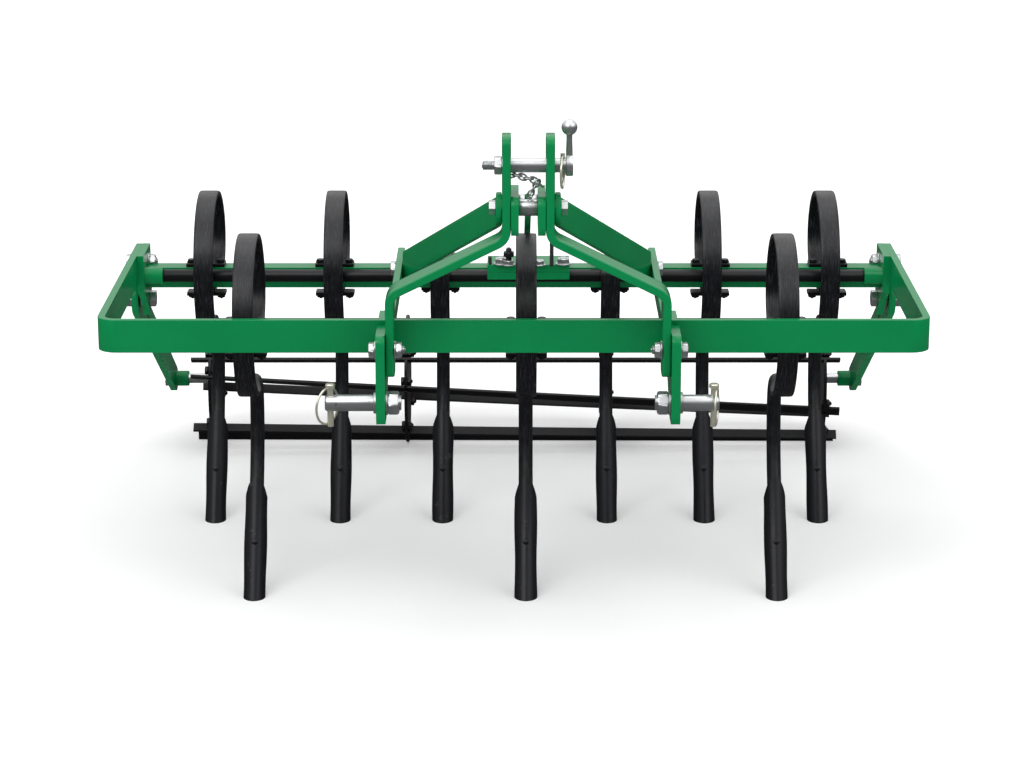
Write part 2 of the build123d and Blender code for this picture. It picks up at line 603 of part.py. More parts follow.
# Tines: strip ring, drawn transition and round shank in one piece.
for node, beam_y, x_share, ring_top, full_ring in TINE_TABLE:
    tine_x = x_share * HOOP_INNER_X
    tail_z = BEAM_BOTTOM_Z - STRIP_THICK / 2
    tail_y = beam_y - TAIL_FRONT
    ring_y = beam_y + RING_SETBACK
    ring_z = ring_top - STRIP_THICK / 2 - RING_MEAN_R
    draw_z = ring_z - RING_MEAN_R
    if full_ring:
        rise = tail_z + TAIL_BEND_R - ring_z
        reach = sqrt((RING_MEAN_R - TAIL_BEND_R) ** 2 - rise**2)
        join = degrees(atan2(rise, reach))
        bend_y = ring_y + reach
        draw_y = ring_y
    else:
        hook_r = ROD_DIA / 2 + SLOT_CLEARANCE + STRIP_THICK / 2
        front_y = ROD_Y - hook_r + HOOK_FRONT_R
        draw_y = front_y
    lower_y, run = shank_frame(ground_point(beam_y), draw_z)
    with BuildPart() as tine:
        with BuildSketch(Plane.YZ.offset(tine_x)):
            with BuildLine():
                if full_ring:
                    bend_z = tail_z + TAIL_BEND_R
                    Line((tail_y, tail_z), (bend_y, tail_z))
                    CenterArc((bend_y, bend_z), TAIL_BEND_R, -90, 90 + join)
                    CenterArc((ring_y, ring_z), RING_MEAN_R, join, 270 - join)
                else:
                    hook_z = ROD_Z + hook_r
                    Line((beam_y + CLAMP_DEPTH / 2, hook_z), (ROD_Y, hook_z))
                    CenterArc((ROD_Y, ROD_Z), hook_r, 90, 90)
                    front_z = draw_z + HOOK_FRONT_R
                    Line((ROD_Y - hook_r, ROD_Z), (ROD_Y - hook_r, front_z))
                    CenterArc((front_y, front_z), HOOK_FRONT_R, 180, 90)
            trace(line_width=STRIP_THICK)
        extrude(amount=STRIP_WIDTH / 2, both=True)
        with BuildSketch(Plane.XZ.offset(-draw_y)):
            with Locations((tine_x, draw_z)):
                Rectangle(STRIP_WIDTH, STRIP_THICK)
        with BuildSketch(Plane.XZ.offset(-draw_y - DRAW_LENGTH)):
            with BuildLine():
                for start, turn in DRAW_ARCS:
                    CenterArc((tine_x, draw_z), SHANK_DIA / 2, start, turn)
            make_face()
        loft(ruled=True)
        bend_z = draw_z - SHANK_BEND_R
        lean = radians(SHARE_ANGLE)
        curve_y = lower_y + SHANK_BEND_R - SHANK_CURVE_R
        stations = [(draw_y + DRAW_LENGTH, draw_z, 0.0)]
        for step in BEND_STEPS:
            turn = radians(step)
            station_y = lower_y + SHANK_BEND_R * sin(turn)
            station_z = bend_z + SHANK_BEND_R * cos(turn)
            stations.append((station_y, station_z, turn))
        for part_way in CURVE_SHARES:
            turn = part_way * lean
            station_y = curve_y + SHANK_CURVE_R * cos(turn)
            station_z = bend_z - SHANK_CURVE_R * sin(turn)
            stations.append((station_y, station_z, radians(90) + turn))
        shaft_run = run - SHANK_STOP
        stop_y = station_y - shaft_run * sin(lean)
        stop_z = station_z - shaft_run * cos(lean)
        stations.append((stop_y, stop_z, radians(90) + lean))
        for station_y, station_z, turn in stations:
            section = Plane(
                origin=(tine_x, station_y, station_z),
                x_dir=(1, 0, 0),
                z_dir=(0, cos(turn), -sin(turn)),
            )
            with BuildSketch(section):
                Circle(SHANK_DIA / 2)
        loft(ruled=True)
    save(tine.part, node)

# Shares: half tubes on the fronts of the shanks, pointed at the top.
SHARE_ROWS = [
    ("shares_front", FRONT_BEAM_Y),
    ("shares_rear", REAR_BEAM_Y),
]
for node, row_y in SHARE_ROWS:
    lean = radians(SHARE_ANGLE)
    foot_y = ground_point(row_y)
    with BuildPart() as shares:
        for tine_node, beam_y, x_share, ring_top, full_ring in TINE_TABLE:
            tine_x = x_share * HOOP_INNER_X
            if beam_y == row_y:
                top_y = foot_y + SHARE_LENGTH * sin(lean)
                top_z = SHARE_LENGTH * cos(lean)
                share_plane = Plane(
                    origin=(tine_x, top_y, top_z),
                    x_dir=(1, 0, 0),
                    z_dir=(0, -sin(lean), -cos(lean)),
                )
                inner_r = SHANK_DIA / 2
                outer_r = inner_r + SHARE_THICK
                with BuildSketch(share_plane):
                    Circle(outer_r)
                    Circle(inner_r, mode=Mode.SUBTRACT)
                    with Locations((0, -outer_r)):
                        Rectangle(2 * outer_r, 2 * outer_r, mode=Mode.SUBTRACT)
                extrude(amount=SHARE_LENGTH + 2 * outer_r)
                face_plane = Plane(
                    origin=(tine_x, top_y, top_z),
                    x_dir=(1, 0, 0),
                    z_dir=(0, -cos(lean), sin(lean)),
                )
                for turn in (-1, 1):
                    with BuildSketch(face_plane):
                        with BuildLine():
                            Polyline(
                                (0, SHARE_POINT / 4),
                                (turn * 2 * outer_r, SHARE_POINT / 4),
                                (turn * 2 * outer_r, -SHARE_POINT),
                                (turn * outer_r, -SHARE_POINT),
                                (0, 0),
                                close=True,
                            )
                        make_face()
                    extrude(
                        amount=2 * outer_r,
                        both=True,
                        mode=Mode.SUBTRACT,
                    )
        split(bisect_by=Plane.XY, keep=Keep.TOP)
    save(shares.part, node)

# Clamp plates over each beam and under each tine's tail.
for node, row_y in (("clamps_front", FRONT_BEAM_Y), ("clamps_rear", REAR_BEAM_Y)):
    with BuildPart() as clamps:
        for tine_node, beam_y, x_share, ring_top, full_ring in TINE_TABLE:
            tine_x = x_share * HOOP_INNER_X
            if beam_y == row_y:
                top_z = BEAM_TOP_Z + CLAMP_THICK / 2
                low_z = BEAM_BOTTOM_Z - CLAMP_THICK / 2
                if full_ring:
                    low_z -= STRIP_THICK
                else:
                    top_z += STRIP_THICK + SLOT_CLEARANCE
                with Locations((tine_x, row_y, top_z), (tine_x, row_y, low_z)):
                    Box(CLAMP_WIDTH, CLAMP_DEPTH, CLAMP_THICK)
    save(clamps.part, node)


def bar_turn(left_angle, right_angle, x):
    """Return a cage bar's angle about the axle at one place along it."""
    return left_angle + (right_angle - left_angle) * (x - BAR_LEFT_X) / BAR_LENGTH


# Bars: flat bars on edge to the axle, with a section at each disc.
BAR_MIDDLE_R = ROLLER_R - BAR_DEPTH / 2
bar_stations = [BAR_LEFT_X] + DISC_X + [BAR_LEFT_X + BAR_LENGTH]
with BuildPart() as roller_bars:
    for left_angle, right_angle in BAR_TABLE:
        for x in bar_stations:
            turn = radians(bar_turn(left_angle, right_angle, x))
            bar_y = ROLLER_Y - BAR_MIDDLE_R * cos(turn)
            bar_z = ROLLER_R + BAR_MIDDLE_R * sin(turn)
            section = Plane(
                origin=(x, bar_y, bar_z),
                x_dir=(0, -cos(turn), sin(turn)),
                z_dir=(1, 0, 0),
            )
            with BuildSketch(section):
                Rectangle(BAR_DEPTH, BAR_THICK)
        loft(ruled=True)
save(roller_bars.part, "roller_bars")

# Discs: slotted at the rim for the bars.
with BuildPart() as roller_discs:
    for x in DISC_X:
        with BuildSketch(Plane.YZ.offset(x - DISC_THICK / 2)):
            with Locations((ROLLER_Y, ROLLER_R)):
                Circle(ROLLER_R)
            for left_angle, right_angle in BAR_TABLE:
                turn = bar_turn(left_angle, right_angle, x)
                slot_y = ROLLER_Y - BAR_MIDDLE_R * cos(radians(turn))
                slot_z = ROLLER_R + BAR_MIDDLE_R * sin(radians(turn))
                with Locations((slot_y, slot_z)):
                    Rectangle(
                        BAR_DEPTH + 2 * SLOT_CLEARANCE,
                        BAR_THICK + 2 * SLOT_CLEARANCE,
                        rotation=180 - turn,
                        mode=Mode.SUBTRACT,
                    )
        extrude(amount=DISC_THICK)
save(roller_discs.part, "roller_discs")

# Stub axles: flange on the end disc, shaft through the arm's boss, end nut.
# Columns: (sign along X, X of the end disc).
AXLE_TABLE = [
    (-1, DISC_X[0]),
    (1, DISC_X[-1]),
]
with BuildPart() as stub_axles:
    for sign, disc_x in AXLE_TABLE:
        seat_x = disc_x + sign * DISC_THICK / 2
        with BuildSketch(Plane.YZ.offset(seat_x)):
            with Locations((ROLLER_Y, ROLLER_R)):
                Circle(AXLE_FLANGE_DIA / 2)
        extrude(amount=sign * AXLE_FLANGE_THICK)
        with BuildSketch(Plane.YZ.offset(seat_x)):
            with Locations((ROLLER_Y, ROLLER_R)):
                Circle(AXLE_DIA / 2)
        nut_x = sign * (ARM_OUTER_X + SLOT_CLEARANCE)
        extrude(amount=nut_x - seat_x)
        with BuildSketch(Plane.YZ.offset(nut_x)):
            with Locations((ROLLER_Y, ROLLER_R)):
                RegularPolygon(AXLE_NUT_DIA / 2, 6)
        extrude(amount=sign * AXLE_NUT_LENGTH)
save(stub_axles.part, "stub_axles")
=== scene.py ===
"""Spring tine cultivator: finishes, tines and small fittings over the CAD frame."""

import json
import logging
import math
from dataclasses import dataclass, field
from enum import Enum

import bmesh
import bpy
import numpy as np
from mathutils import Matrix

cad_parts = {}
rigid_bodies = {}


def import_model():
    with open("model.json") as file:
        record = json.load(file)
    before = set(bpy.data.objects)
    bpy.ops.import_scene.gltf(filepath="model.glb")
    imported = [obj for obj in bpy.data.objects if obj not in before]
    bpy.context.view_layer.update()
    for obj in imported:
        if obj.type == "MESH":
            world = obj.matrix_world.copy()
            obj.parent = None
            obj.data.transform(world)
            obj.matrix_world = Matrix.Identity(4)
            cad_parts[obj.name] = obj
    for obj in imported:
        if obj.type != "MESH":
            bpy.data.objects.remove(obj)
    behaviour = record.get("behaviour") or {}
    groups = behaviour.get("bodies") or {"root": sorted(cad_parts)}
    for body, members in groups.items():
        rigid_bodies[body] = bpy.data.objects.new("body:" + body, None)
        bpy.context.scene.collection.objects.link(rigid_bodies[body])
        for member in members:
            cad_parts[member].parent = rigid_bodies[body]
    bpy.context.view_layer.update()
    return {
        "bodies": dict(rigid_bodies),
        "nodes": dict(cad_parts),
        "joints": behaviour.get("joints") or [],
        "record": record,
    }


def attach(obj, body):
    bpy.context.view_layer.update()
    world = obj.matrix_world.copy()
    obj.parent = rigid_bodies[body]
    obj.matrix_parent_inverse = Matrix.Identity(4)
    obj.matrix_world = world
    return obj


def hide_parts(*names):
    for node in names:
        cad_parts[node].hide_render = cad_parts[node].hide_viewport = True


Array = np.ndarray
Socket = bpy.types.NodeSocket
Pair = tuple[float, float]
Vector = tuple[float, float, float]

MM = 0.001
ALONG_X = np.array([1.0, 0.0, 0.0])
ALONG_Y = np.array([0.0, 1.0, 0.0])
ALONG_Z = np.array([0.0, 0.0, 1.0])
LOG = logging.getLogger("cultivator")

# Sizes of the frame that the fittings seat on, in millimetres.
HOOP_FRONT = -453.5
HOOP_HALF = 555.0
HOOP_INNER = 545.0
HITCH_X = 19.0
HITCH_HALF = 200.0
HEAD_Y = HOOP_FRONT - 25.0
TOP_PIN_Z = 639.0
FRONT_BEAM = -383.5
REAR_BEAM = -38.5
BEAM_TOP = 401.5
BEAM_BOTTOM = 371.5
ROD_Y = -65.5
ROD_Z = 392.5
ROD_R = 9.0
ROLLER_Y = 417.5
ROLLER_R = 104.0
ROLLER_X = 3.5
CAGE_HALF = 520.5

# Points of a path that are closer than this count as one, and points this near
# a level count as on it, in millimetres.
SAME_POINT = 0.05
SAME_LEVEL = 0.5

# Head and washer of a bolt, as shares of its thread's diameter.
HEAD_ACROSS = 1.55
HEAD_HEIGHT = 0.66
WASHER_HEIGHT = 0.18
WASHER_R = 1.04

# Rounding of a washer's rim in and up, and depth of a thread's start in its head.
RIM_IN = 0.5
RIM_UP = 0.4
THREAD_SINK = 0.6


class Body(Enum):
    """Rigid bodies of the machine that the made pieces ride on."""

    FRAME = "frame"
    ROLLER = "roller"


class Axis(Enum):
    """Directions in which a fitting can point."""

    LEFT = (-1.0, 0.0, 0.0)
    RIGHT = (1.0, 0.0, 0.0)
    DOWN = (0.0, 0.0, -1.0)
    UP = (0.0, 0.0, 1.0)


SIDES = ((-1, "left", Axis.LEFT, Axis.RIGHT), (1, "right", Axis.RIGHT, Axis.LEFT))


# Finishes


@dataclass
class Graph:
    """Node tree with one call to add a node and feed its inputs."""

    tree: bpy.types.NodeTree

    def add(self, kind: str, inputs: dict | None = None) -> bpy.types.Node:
        """Add a node of a kind and feed its inputs.

        Args:
            kind: Node type.
            inputs: What feeds each input, by its name or place.

        Returns:
            The new node.
        """
        node = self.tree.nodes.new(kind)
        self.feed(node, inputs or {})
        return node

    def feed(self, node: bpy.types.Node, inputs: dict) -> None:
        """Feed inputs: a socket becomes a link, anything else is the value.

        Args:
            node: Node whose inputs are fed.
            inputs: What feeds each input, by its name or place.
        """
        for key, source in inputs.items():
            if isinstance(source, Socket):
                self.tree.links.new(source, node.inputs[key])
            else:
                node.inputs[key].default_value = source

    def span(
        self,
        value: Socket,
        ends: tuple[float | Socket, ...],
        kind: str = "LINEAR",
    ) -> Socket:
        """Add a node that brings a value from one span to another.

        Args:
            value: Socket with the value.
            ends: Low and high end of the span it has, then of the new one.
            kind: How it goes between them.

        Returns:
            Socket with the new value.
        """
        node = self.add("ShaderNodeMapRange", {"Value": value})
        node.interpolation_type = kind
        self.feed(node, dict(zip(("From Min", "From Max", "To Min", "To Max"), ends)))
        return node.outputs["Result"]

    def blend(
        self,
        factor: Socket,
        first: tuple[float, ...] | Socket,
        second: tuple[float, ...],
    ) -> Socket:
        """Add a mix of two colours.

        Args:
            factor: Share of the second colour.
            first: Colour, or the socket that gives it.
            second: Colour with its alpha.

        Returns:
            Socket with the mixed colour.
        """
        mix = self.add("ShaderNodeMix")
        mix.data_type = "RGBA"
        self.feed(mix, {"Factor": factor, 6: first, 7: second})
        return mix.outputs[2]


@dataclass(frozen=True)
class SurfaceGroup:
    """Shared effect: fine grain, broad tone and scuffs over a surface.

    The rows give each noise its detail and roughness. A scuff begins where its
    noise passes scuff_from less the amount, and is full scuff_edge higher.
    """

    name: str = "surface wear"
    noises: tuple[tuple[str, float, float], ...] = (
        ("Grain", 3.0, 0.55), ("Tone", 4.0, 0.6), ("Scuff", 6.0, 0.72),
    )
    scuff_from: float = 0.8
    scuff_edge: float = 0.04

    def build(self) -> bpy.types.NodeTree:
        """Build the group once and return it.

        Returns:
            Node group with a vector in, and tone, scuff mask and height out.
        """
        found = bpy.data.node_groups.get(self.name)
        if found:
            return found
        tree = bpy.data.node_groups.new(self.name, "ShaderNodeTree")
        sockets = tree.interface
        sockets.new_socket("Vector", in_out="INPUT", socket_type="NodeSocketVector")
        for label in ("Grain Scale", "Tone Scale", "Scuff Scale", "Scuff Amount"):
            sockets.new_socket(label, in_out="INPUT", socket_type="NodeSocketFloat")
        for label in ("Tone", "Scuff", "Height"):
            sockets.new_socket(label, in_out="OUTPUT", socket_type="NodeSocketFloat")
        graph = Graph(tree)
        source = graph.add("NodeGroupInput").outputs
        noise = {}
        for label, detail, rough in self.noises:
            inputs = {"Vector": source["Vector"], "Scale": source[f"{label} Scale"]}
            inputs |= {"Detail": detail, "Roughness": rough}
            noise[label] = graph.add("ShaderNodeTexNoise", inputs).outputs["Fac"]
        low = graph.add("ShaderNodeMath", {0: self.scuff_from, 1: source["Scuff Amount"]})
        low.operation = "SUBTRACT"
        high = graph.add("ShaderNodeMath", {0: low.outputs[0], 1: self.scuff_edge})
        high.operation = "ADD"
        mask = graph.span(noise["Scuff"], (low.outputs[0], high.outputs[0], 0.0, 1.0))
        outputs = {"Height": noise["Grain"], "Tone": noise["Tone"], "Scuff": mask}
        graph.add("NodeGroupOutput", outputs)
        return tree


@dataclass(frozen=True)
class Finish:
    """One paint or metal finish, with its grain, tone and scuffs.

    The roughness goes from the first to the second value with the tone.
    """

    name: str
    slot: str
    colour: Vector
    tone: Vector
    scuff: Vector
    roughness: Pair
    metallic: float = 0.0
    shine: float = 0.5
    grain_scale: float = 900.0
    grain_depth: float = 0.1
    grain_height: float = 0.0004
    tone_scale: float = 9.0
    scuff_scale: float = 60.0
    scuff_amount: float = 0.12
    stretch: Vector = (1.0, 1.0, 1.0)
    along_piece: bool = False

    def build(self) -> bpy.types.Material:
        """Build the material once and return it.

        Returns:
            Principled material with the shared wear group.
        """
        found = bpy.data.materials.get(self.name)
        if found:
            return found
        material = bpy.data.materials.new(self.name)
        material.use_nodes = True
        graph = Graph(material.node_tree)
        if self.along_piece:
            carrier = graph.add("ShaderNodeUVMap")
            carrier.uv_map = "along"
            source = carrier.outputs["UV"]
        else:
            source = graph.add("ShaderNodeTexCoord").outputs["Object"]
        place = graph.add("ShaderNodeMapping", {"Vector": source, "Scale": self.stretch})
        group = graph.add("ShaderNodeGroup")
        group.node_tree = SurfaceGroup().build()
        wear = {
            "Vector": place.outputs["Vector"],
            "Grain Scale": self.grain_scale,
            "Tone Scale": self.tone_scale,
            "Scuff Scale": self.scuff_scale,
            "Scuff Amount": self.scuff_amount,
        }
        graph.feed(group, wear)
        tone, scuff, height = (group.outputs[key] for key in ("Tone", "Scuff", "Height"))
        shade = graph.blend(tone, (*self.colour, 1.0), (*self.tone, 1.0))
        gloss = graph.span(tone, (0.0, 1.0, *self.roughness))
        inputs = {"Strength": self.grain_depth, "Distance": self.grain_height, "Height": height}
        bump = graph.add("ShaderNodeBump", inputs)
        surface = {
            "Base Color": graph.blend(scuff, shade, (*self.scuff, 1.0)),
            "Roughness": gloss,
            "Normal": bump.outputs["Normal"],
            "Metallic": self.metallic,
            "Specular IOR Level": self.shine,
        }
        graph.feed(graph.tree.nodes["Principled BSDF"], surface)
        return material


GREEN = Finish(
    name="green enamel", slot="green_paint",
    colour=(0.0004, 0.2, 0.058), tone=(0.0006, 0.255, 0.075), scuff=(0.006, 0.17, 0.06),
    roughness=(0.2, 0.3), shine=0.2, grain_scale=420.0, scuff_amount=0.07,
)
BLACK = Finish(
    name="black enamel", slot="black_paint",
    colour=(0.0035, 0.0035, 0.0045), tone=(0.007, 0.007, 0.0085), scuff=(0.03, 0.03, 0.035),
    roughness=(0.3, 0.46), shine=0.26, grain_scale=700.0, grain_depth=0.16, scuff_amount=0.1,
)
SPRING = Finish(
    name="black spring steel", slot="spring_steel",
    colour=(0.001, 0.001, 0.0016), tone=(0.0065, 0.007, 0.0095), scuff=(0.055, 0.058, 0.07),
    roughness=(0.12, 0.5), shine=0.32, grain_scale=120.0, grain_depth=0.35, tone_scale=5.0,
    scuff_scale=7.0, scuff_amount=0.24, stretch=(16.0, 0.9, 1.0), along_piece=True,
)
SHARE = Finish(
    name="black share steel", slot="share_steel",
    colour=(0.0012, 0.0012, 0.0024), tone=(0.006, 0.0065, 0.0105), scuff=(0.04, 0.042, 0.052),
    roughness=(0.22, 0.46), shine=0.27, grain_scale=300.0, grain_depth=0.5, tone_scale=16.0,
    scuff_scale=45.0, scuff_amount=0.17,
)
ZINC = Finish(
    name="bright zinc", slot="zinc",
    colour=(0.5, 0.51, 0.525), tone=(0.62, 0.63, 0.64), scuff=(0.3, 0.31, 0.33),
    roughness=(0.24, 0.38), metallic=0.9, grain_scale=800.0, grain_depth=0.08, tone_scale=40.0,
    scuff_amount=0.16,
)
BRASSY = Finish(
    name="yellow zinc", slot="zinc",
    colour=(0.66, 0.63, 0.5), tone=(0.76, 0.74, 0.65), scuff=(0.5, 0.43, 0.28),
    roughness=(0.25, 0.4), metallic=0.7, grain_depth=0.08, tone_scale=60.0,
)
BLACK_BOLT = Finish(
    name="blackened bolt steel", slot="black_paint",
    colour=(0.005, 0.005, 0.006), tone=(0.012, 0.012, 0.014), scuff=(0.06, 0.06, 0.065),
    roughness=(0.3, 0.45), shine=0.35, tone_scale=60.0, scuff_amount=0.16,
)
BY_SLOT = {
    "green_paint": GREEN,
    "black_paint": BLACK,
    "share_steel": SHARE,
    "spring_steel": BLACK,
    "zinc": ZINC,
}


# Shapes


def angles(count: int) -> Array:
    """Return count angles round a full turn, the end left out."""
    return np.linspace(0.0, 2 * np.pi, count, endpoint=False)


def circle(radius: float, count: int) -> Array:
    """Section of a round bar: radius times cosine and sine of the angle."""
    turn = angles(count)
    return radius * np.stack([np.cos(turn), np.sin(turn)], 1)


def flat_bar(width: float, thick: float, corner: float, count: int) -> Array:
    """Section of a flat bar with rounded corners.

    An oval of power 8 fills the bar's box. Where it lies outside a box smaller by
    the corner radius, it is drawn in to that radius from the smaller box.

    Args:
        width: Full width in millimetres.
        thick: Full thickness.
        corner: Corner radius.
        count: Points round the section.

    Returns:
        Array of count rows by 2.
    """
    power = 8.0
    ray = circle(1.0, count)
    half = np.array([width, thick]) / 2
    reach = (np.abs(ray) ** power).sum(1) ** (-1 / power)
    edge = ray * reach[:, None] * half
    inner = np.clip(edge, -(half - corner), half - corner)
    away = edge - inner
    length = np.maximum(np.linalg.norm(away, axis=1, keepdims=True), 1e-6)
    return inner + away * np.minimum(corner / length, 1.0)


def carry(path: Array, across: Array, profile: Array) -> Array:
    """Carry a section along a path that lies in one plane.

    Point = path + a times the across direction + b times the normal, where the
    normal is the cross product of the across direction and the path's tangent.

    Args:
        path: n by 3 points.
        across: Unit vector square to the path's plane.
        profile: m by 2, or n by m by 2 for a section that changes.

    Returns:
        n by m by 3 grid.
    """
    tangent = np.gradient(path, axis=0)
    tangent /= np.linalg.norm(tangent, axis=1, keepdims=True)
    normal = np.cross(np.broadcast_to(across, tangent.shape), tangent)
    if profile.ndim == 2:
        profile = profile[None]
    return path[:, None] + profile[..., :1] * across + profile[..., 1:] * normal[:, None]


def arc(centre: Pair, radius: float, start: float, sweep: float, step: float) -> Array:
    """Arc in a plane: centre plus radius times cosine and sine of the angle.

    Args:
        centre: Centre in the plane.
        radius: Radius in millimetres.
        start: First angle in degrees.
        sweep: Turn in degrees, negative for clockwise.
        step: Longest step along the arc.

    Returns:
        n by 2 points.
    """
    count = max(3, int(abs(math.radians(sweep)) * radius / step) + 2)
    turn = np.radians(np.linspace(start, start + sweep, count))
    return np.array(centre) + radius * np.stack([np.cos(turn), np.sin(turn)], 1)


def line(start: Pair, end: Pair, step: float) -> Array:
    """Straight run of even steps between two points of a plane."""
    share = np.linspace(0.0, 1.0, max(2, int(math.dist(start, end) / step) + 1))[:, None]
    return np.array(start) * (1 - share) + np.array(end) * share


def chain(*runs: Array) -> Array:
    """Join runs end to end and drop points that repeat."""
    path = np.concatenate(runs)
    return path[np.diff(run_along(path), prepend=-1.0) > SAME_POINT]


def bent(corners: list[Pair], radius: float, step: float) -> Array:
    """Polyline with rounded corners, as even steps along lines and arcs.

    Each corner is cut back by radius times the tangent of half its turn, and an
    arc about the point at that radius from both legs joins the cuts.

    Args:
        corners: Corner points in a plane.
        radius: Bend radius of the middle line.
        step: Longest step.

    Returns:
        n by 2 points.
    """
    points = [np.array(corner, float) for corner in corners]
    runs = []
    start = points[0]
    for before, here, after in zip(points[:-2], points[1:-1], points[2:]):
        into = (here - before) / np.linalg.norm(here - before)
        away = (after - here) / np.linalg.norm(after - here)
        turn = math.atan2(into[0] * away[1] - into[1] * away[0], into @ away)
        cut = radius * math.tan(abs(turn) / 2)
        side = math.copysign(1.0, turn)
        first = here - into * cut
        centre = first + side * radius * np.array([-into[1], into[0]])
        runs.append(line(tuple(start), tuple(first), step))
        begin = math.degrees(math.atan2(*(first - centre)[::-1]))
        runs.append(arc(tuple(centre), radius, begin, math.degrees(turn), step))
        start = here + away * cut
    runs.append(line(tuple(start), tuple(points[-1]), step))
    return chain(*runs)


def run_along(path: Array) -> Array:
    """Length of a path from its start to each of its points."""
    steps = np.linalg.norm(np.diff(path, axis=0), axis=1)
    return np.concatenate([[0.0], np.cumsum(steps)])


def upright(path: Array, x: float) -> Array:
    """Lift a path of (Y, Z) points into space at one X."""
    return np.column_stack([np.full(len(path), x), path])


def spun(radius: Array, level: Array) -> Array:
    """Rings about the height axis: radius times cosine and sine, at a level.

    Args:
        radius: Radii, n rings by m points.
        level: Heights of the n rings.

    Returns:
        n by m by 3 grid.
    """
    turn = angles(radius.shape[1])
    height = np.broadcast_to(level[:, None], radius.shape)
    return np.stack([radius * np.cos(turn), radius * np.sin(turn), height], 2)


def turned(profile: list[Pair] | Array, count: int) -> Array:
    """Turn a profile of (radius, height) rows about the height axis."""
    rows = np.array(profile, float)
    return spun(np.repeat(rows[:, :1], count, 1), rows[:, 1])


def hexagon(across: float, height: float, chamfer: float = 1.4) -> Array:
    """Hexagon head: the radius is the half width over the cosine of the angle
    from the nearest flat, held under a limit near both ends.

    Args:
        across: Width across the flats.
        height: Height of the head.
        chamfer: Height of the rounded-off part.

    Returns:
        Grid of 6 rows by 48 by 3, from the seat up.
    """
    flat = across / 2
    step = np.pi / 3
    radius = flat / np.cos((angles(48) + step / 2) % step - step / 2)
    # Columns: height, limit of the radius as a share of the half width.
    rows = np.array(
        [
            (0.0, 0.97),
            (chamfer * 0.35, 1.06),
            (chamfer * 0.8, 1.16),
            (height - chamfer, 1.16),
            (height - chamfer * 0.5, 1.08),
            (height, 0.95),
        ]
    )
    return spun(np.minimum(radius, flat * rows[:, 1:]), rows[:, 0])


def thread(radius: float, length: float) -> Array:
    """Threaded stub: the radius dips with the sawtooth of height over pitch
    plus the turn, so that the ridges run as a helix, and narrows at the end.

    Args:
        radius: Outer radius.
        length: Length of the stub.

    Returns:
        Grid of rows by 20 by 3.
    """
    pitch, depth, taper, narrow = 1.75, 0.9, 1.5, 0.55
    level = np.linspace(0.0, length, max(4, int(length / pitch * 4)))
    phase = (level[:, None] / pitch + angles(20) / (2 * np.pi)) % 1.0
    dip = depth * np.abs(phase - 0.5) * 2
    ends = np.clip((length - level) / taper, narrow, 1.0)[:, None]
    return spun((radius - dip) * ends, level)


def seat(grid: Array, origin: Vector, axis: Axis | Vector) -> Array:
    """Turn a grid's height axis into a direction and move it to its place.

    Args:
        grid: n by m by 3 points with the height along Z.
        origin: Place of the seat.
        axis: Direction in which the height grows.

    Returns:
        The placed grid.
    """
    up = np.array(axis.value if isinstance(axis, Axis) else axis)
    side = ALONG_Z if abs(up[2]) < 0.5 else ALONG_X
    side = side - up * (side @ up)
    side /= np.linalg.norm(side)
    return grid @ np.stack([side, np.cross(up, side), up]) + np.array(origin)


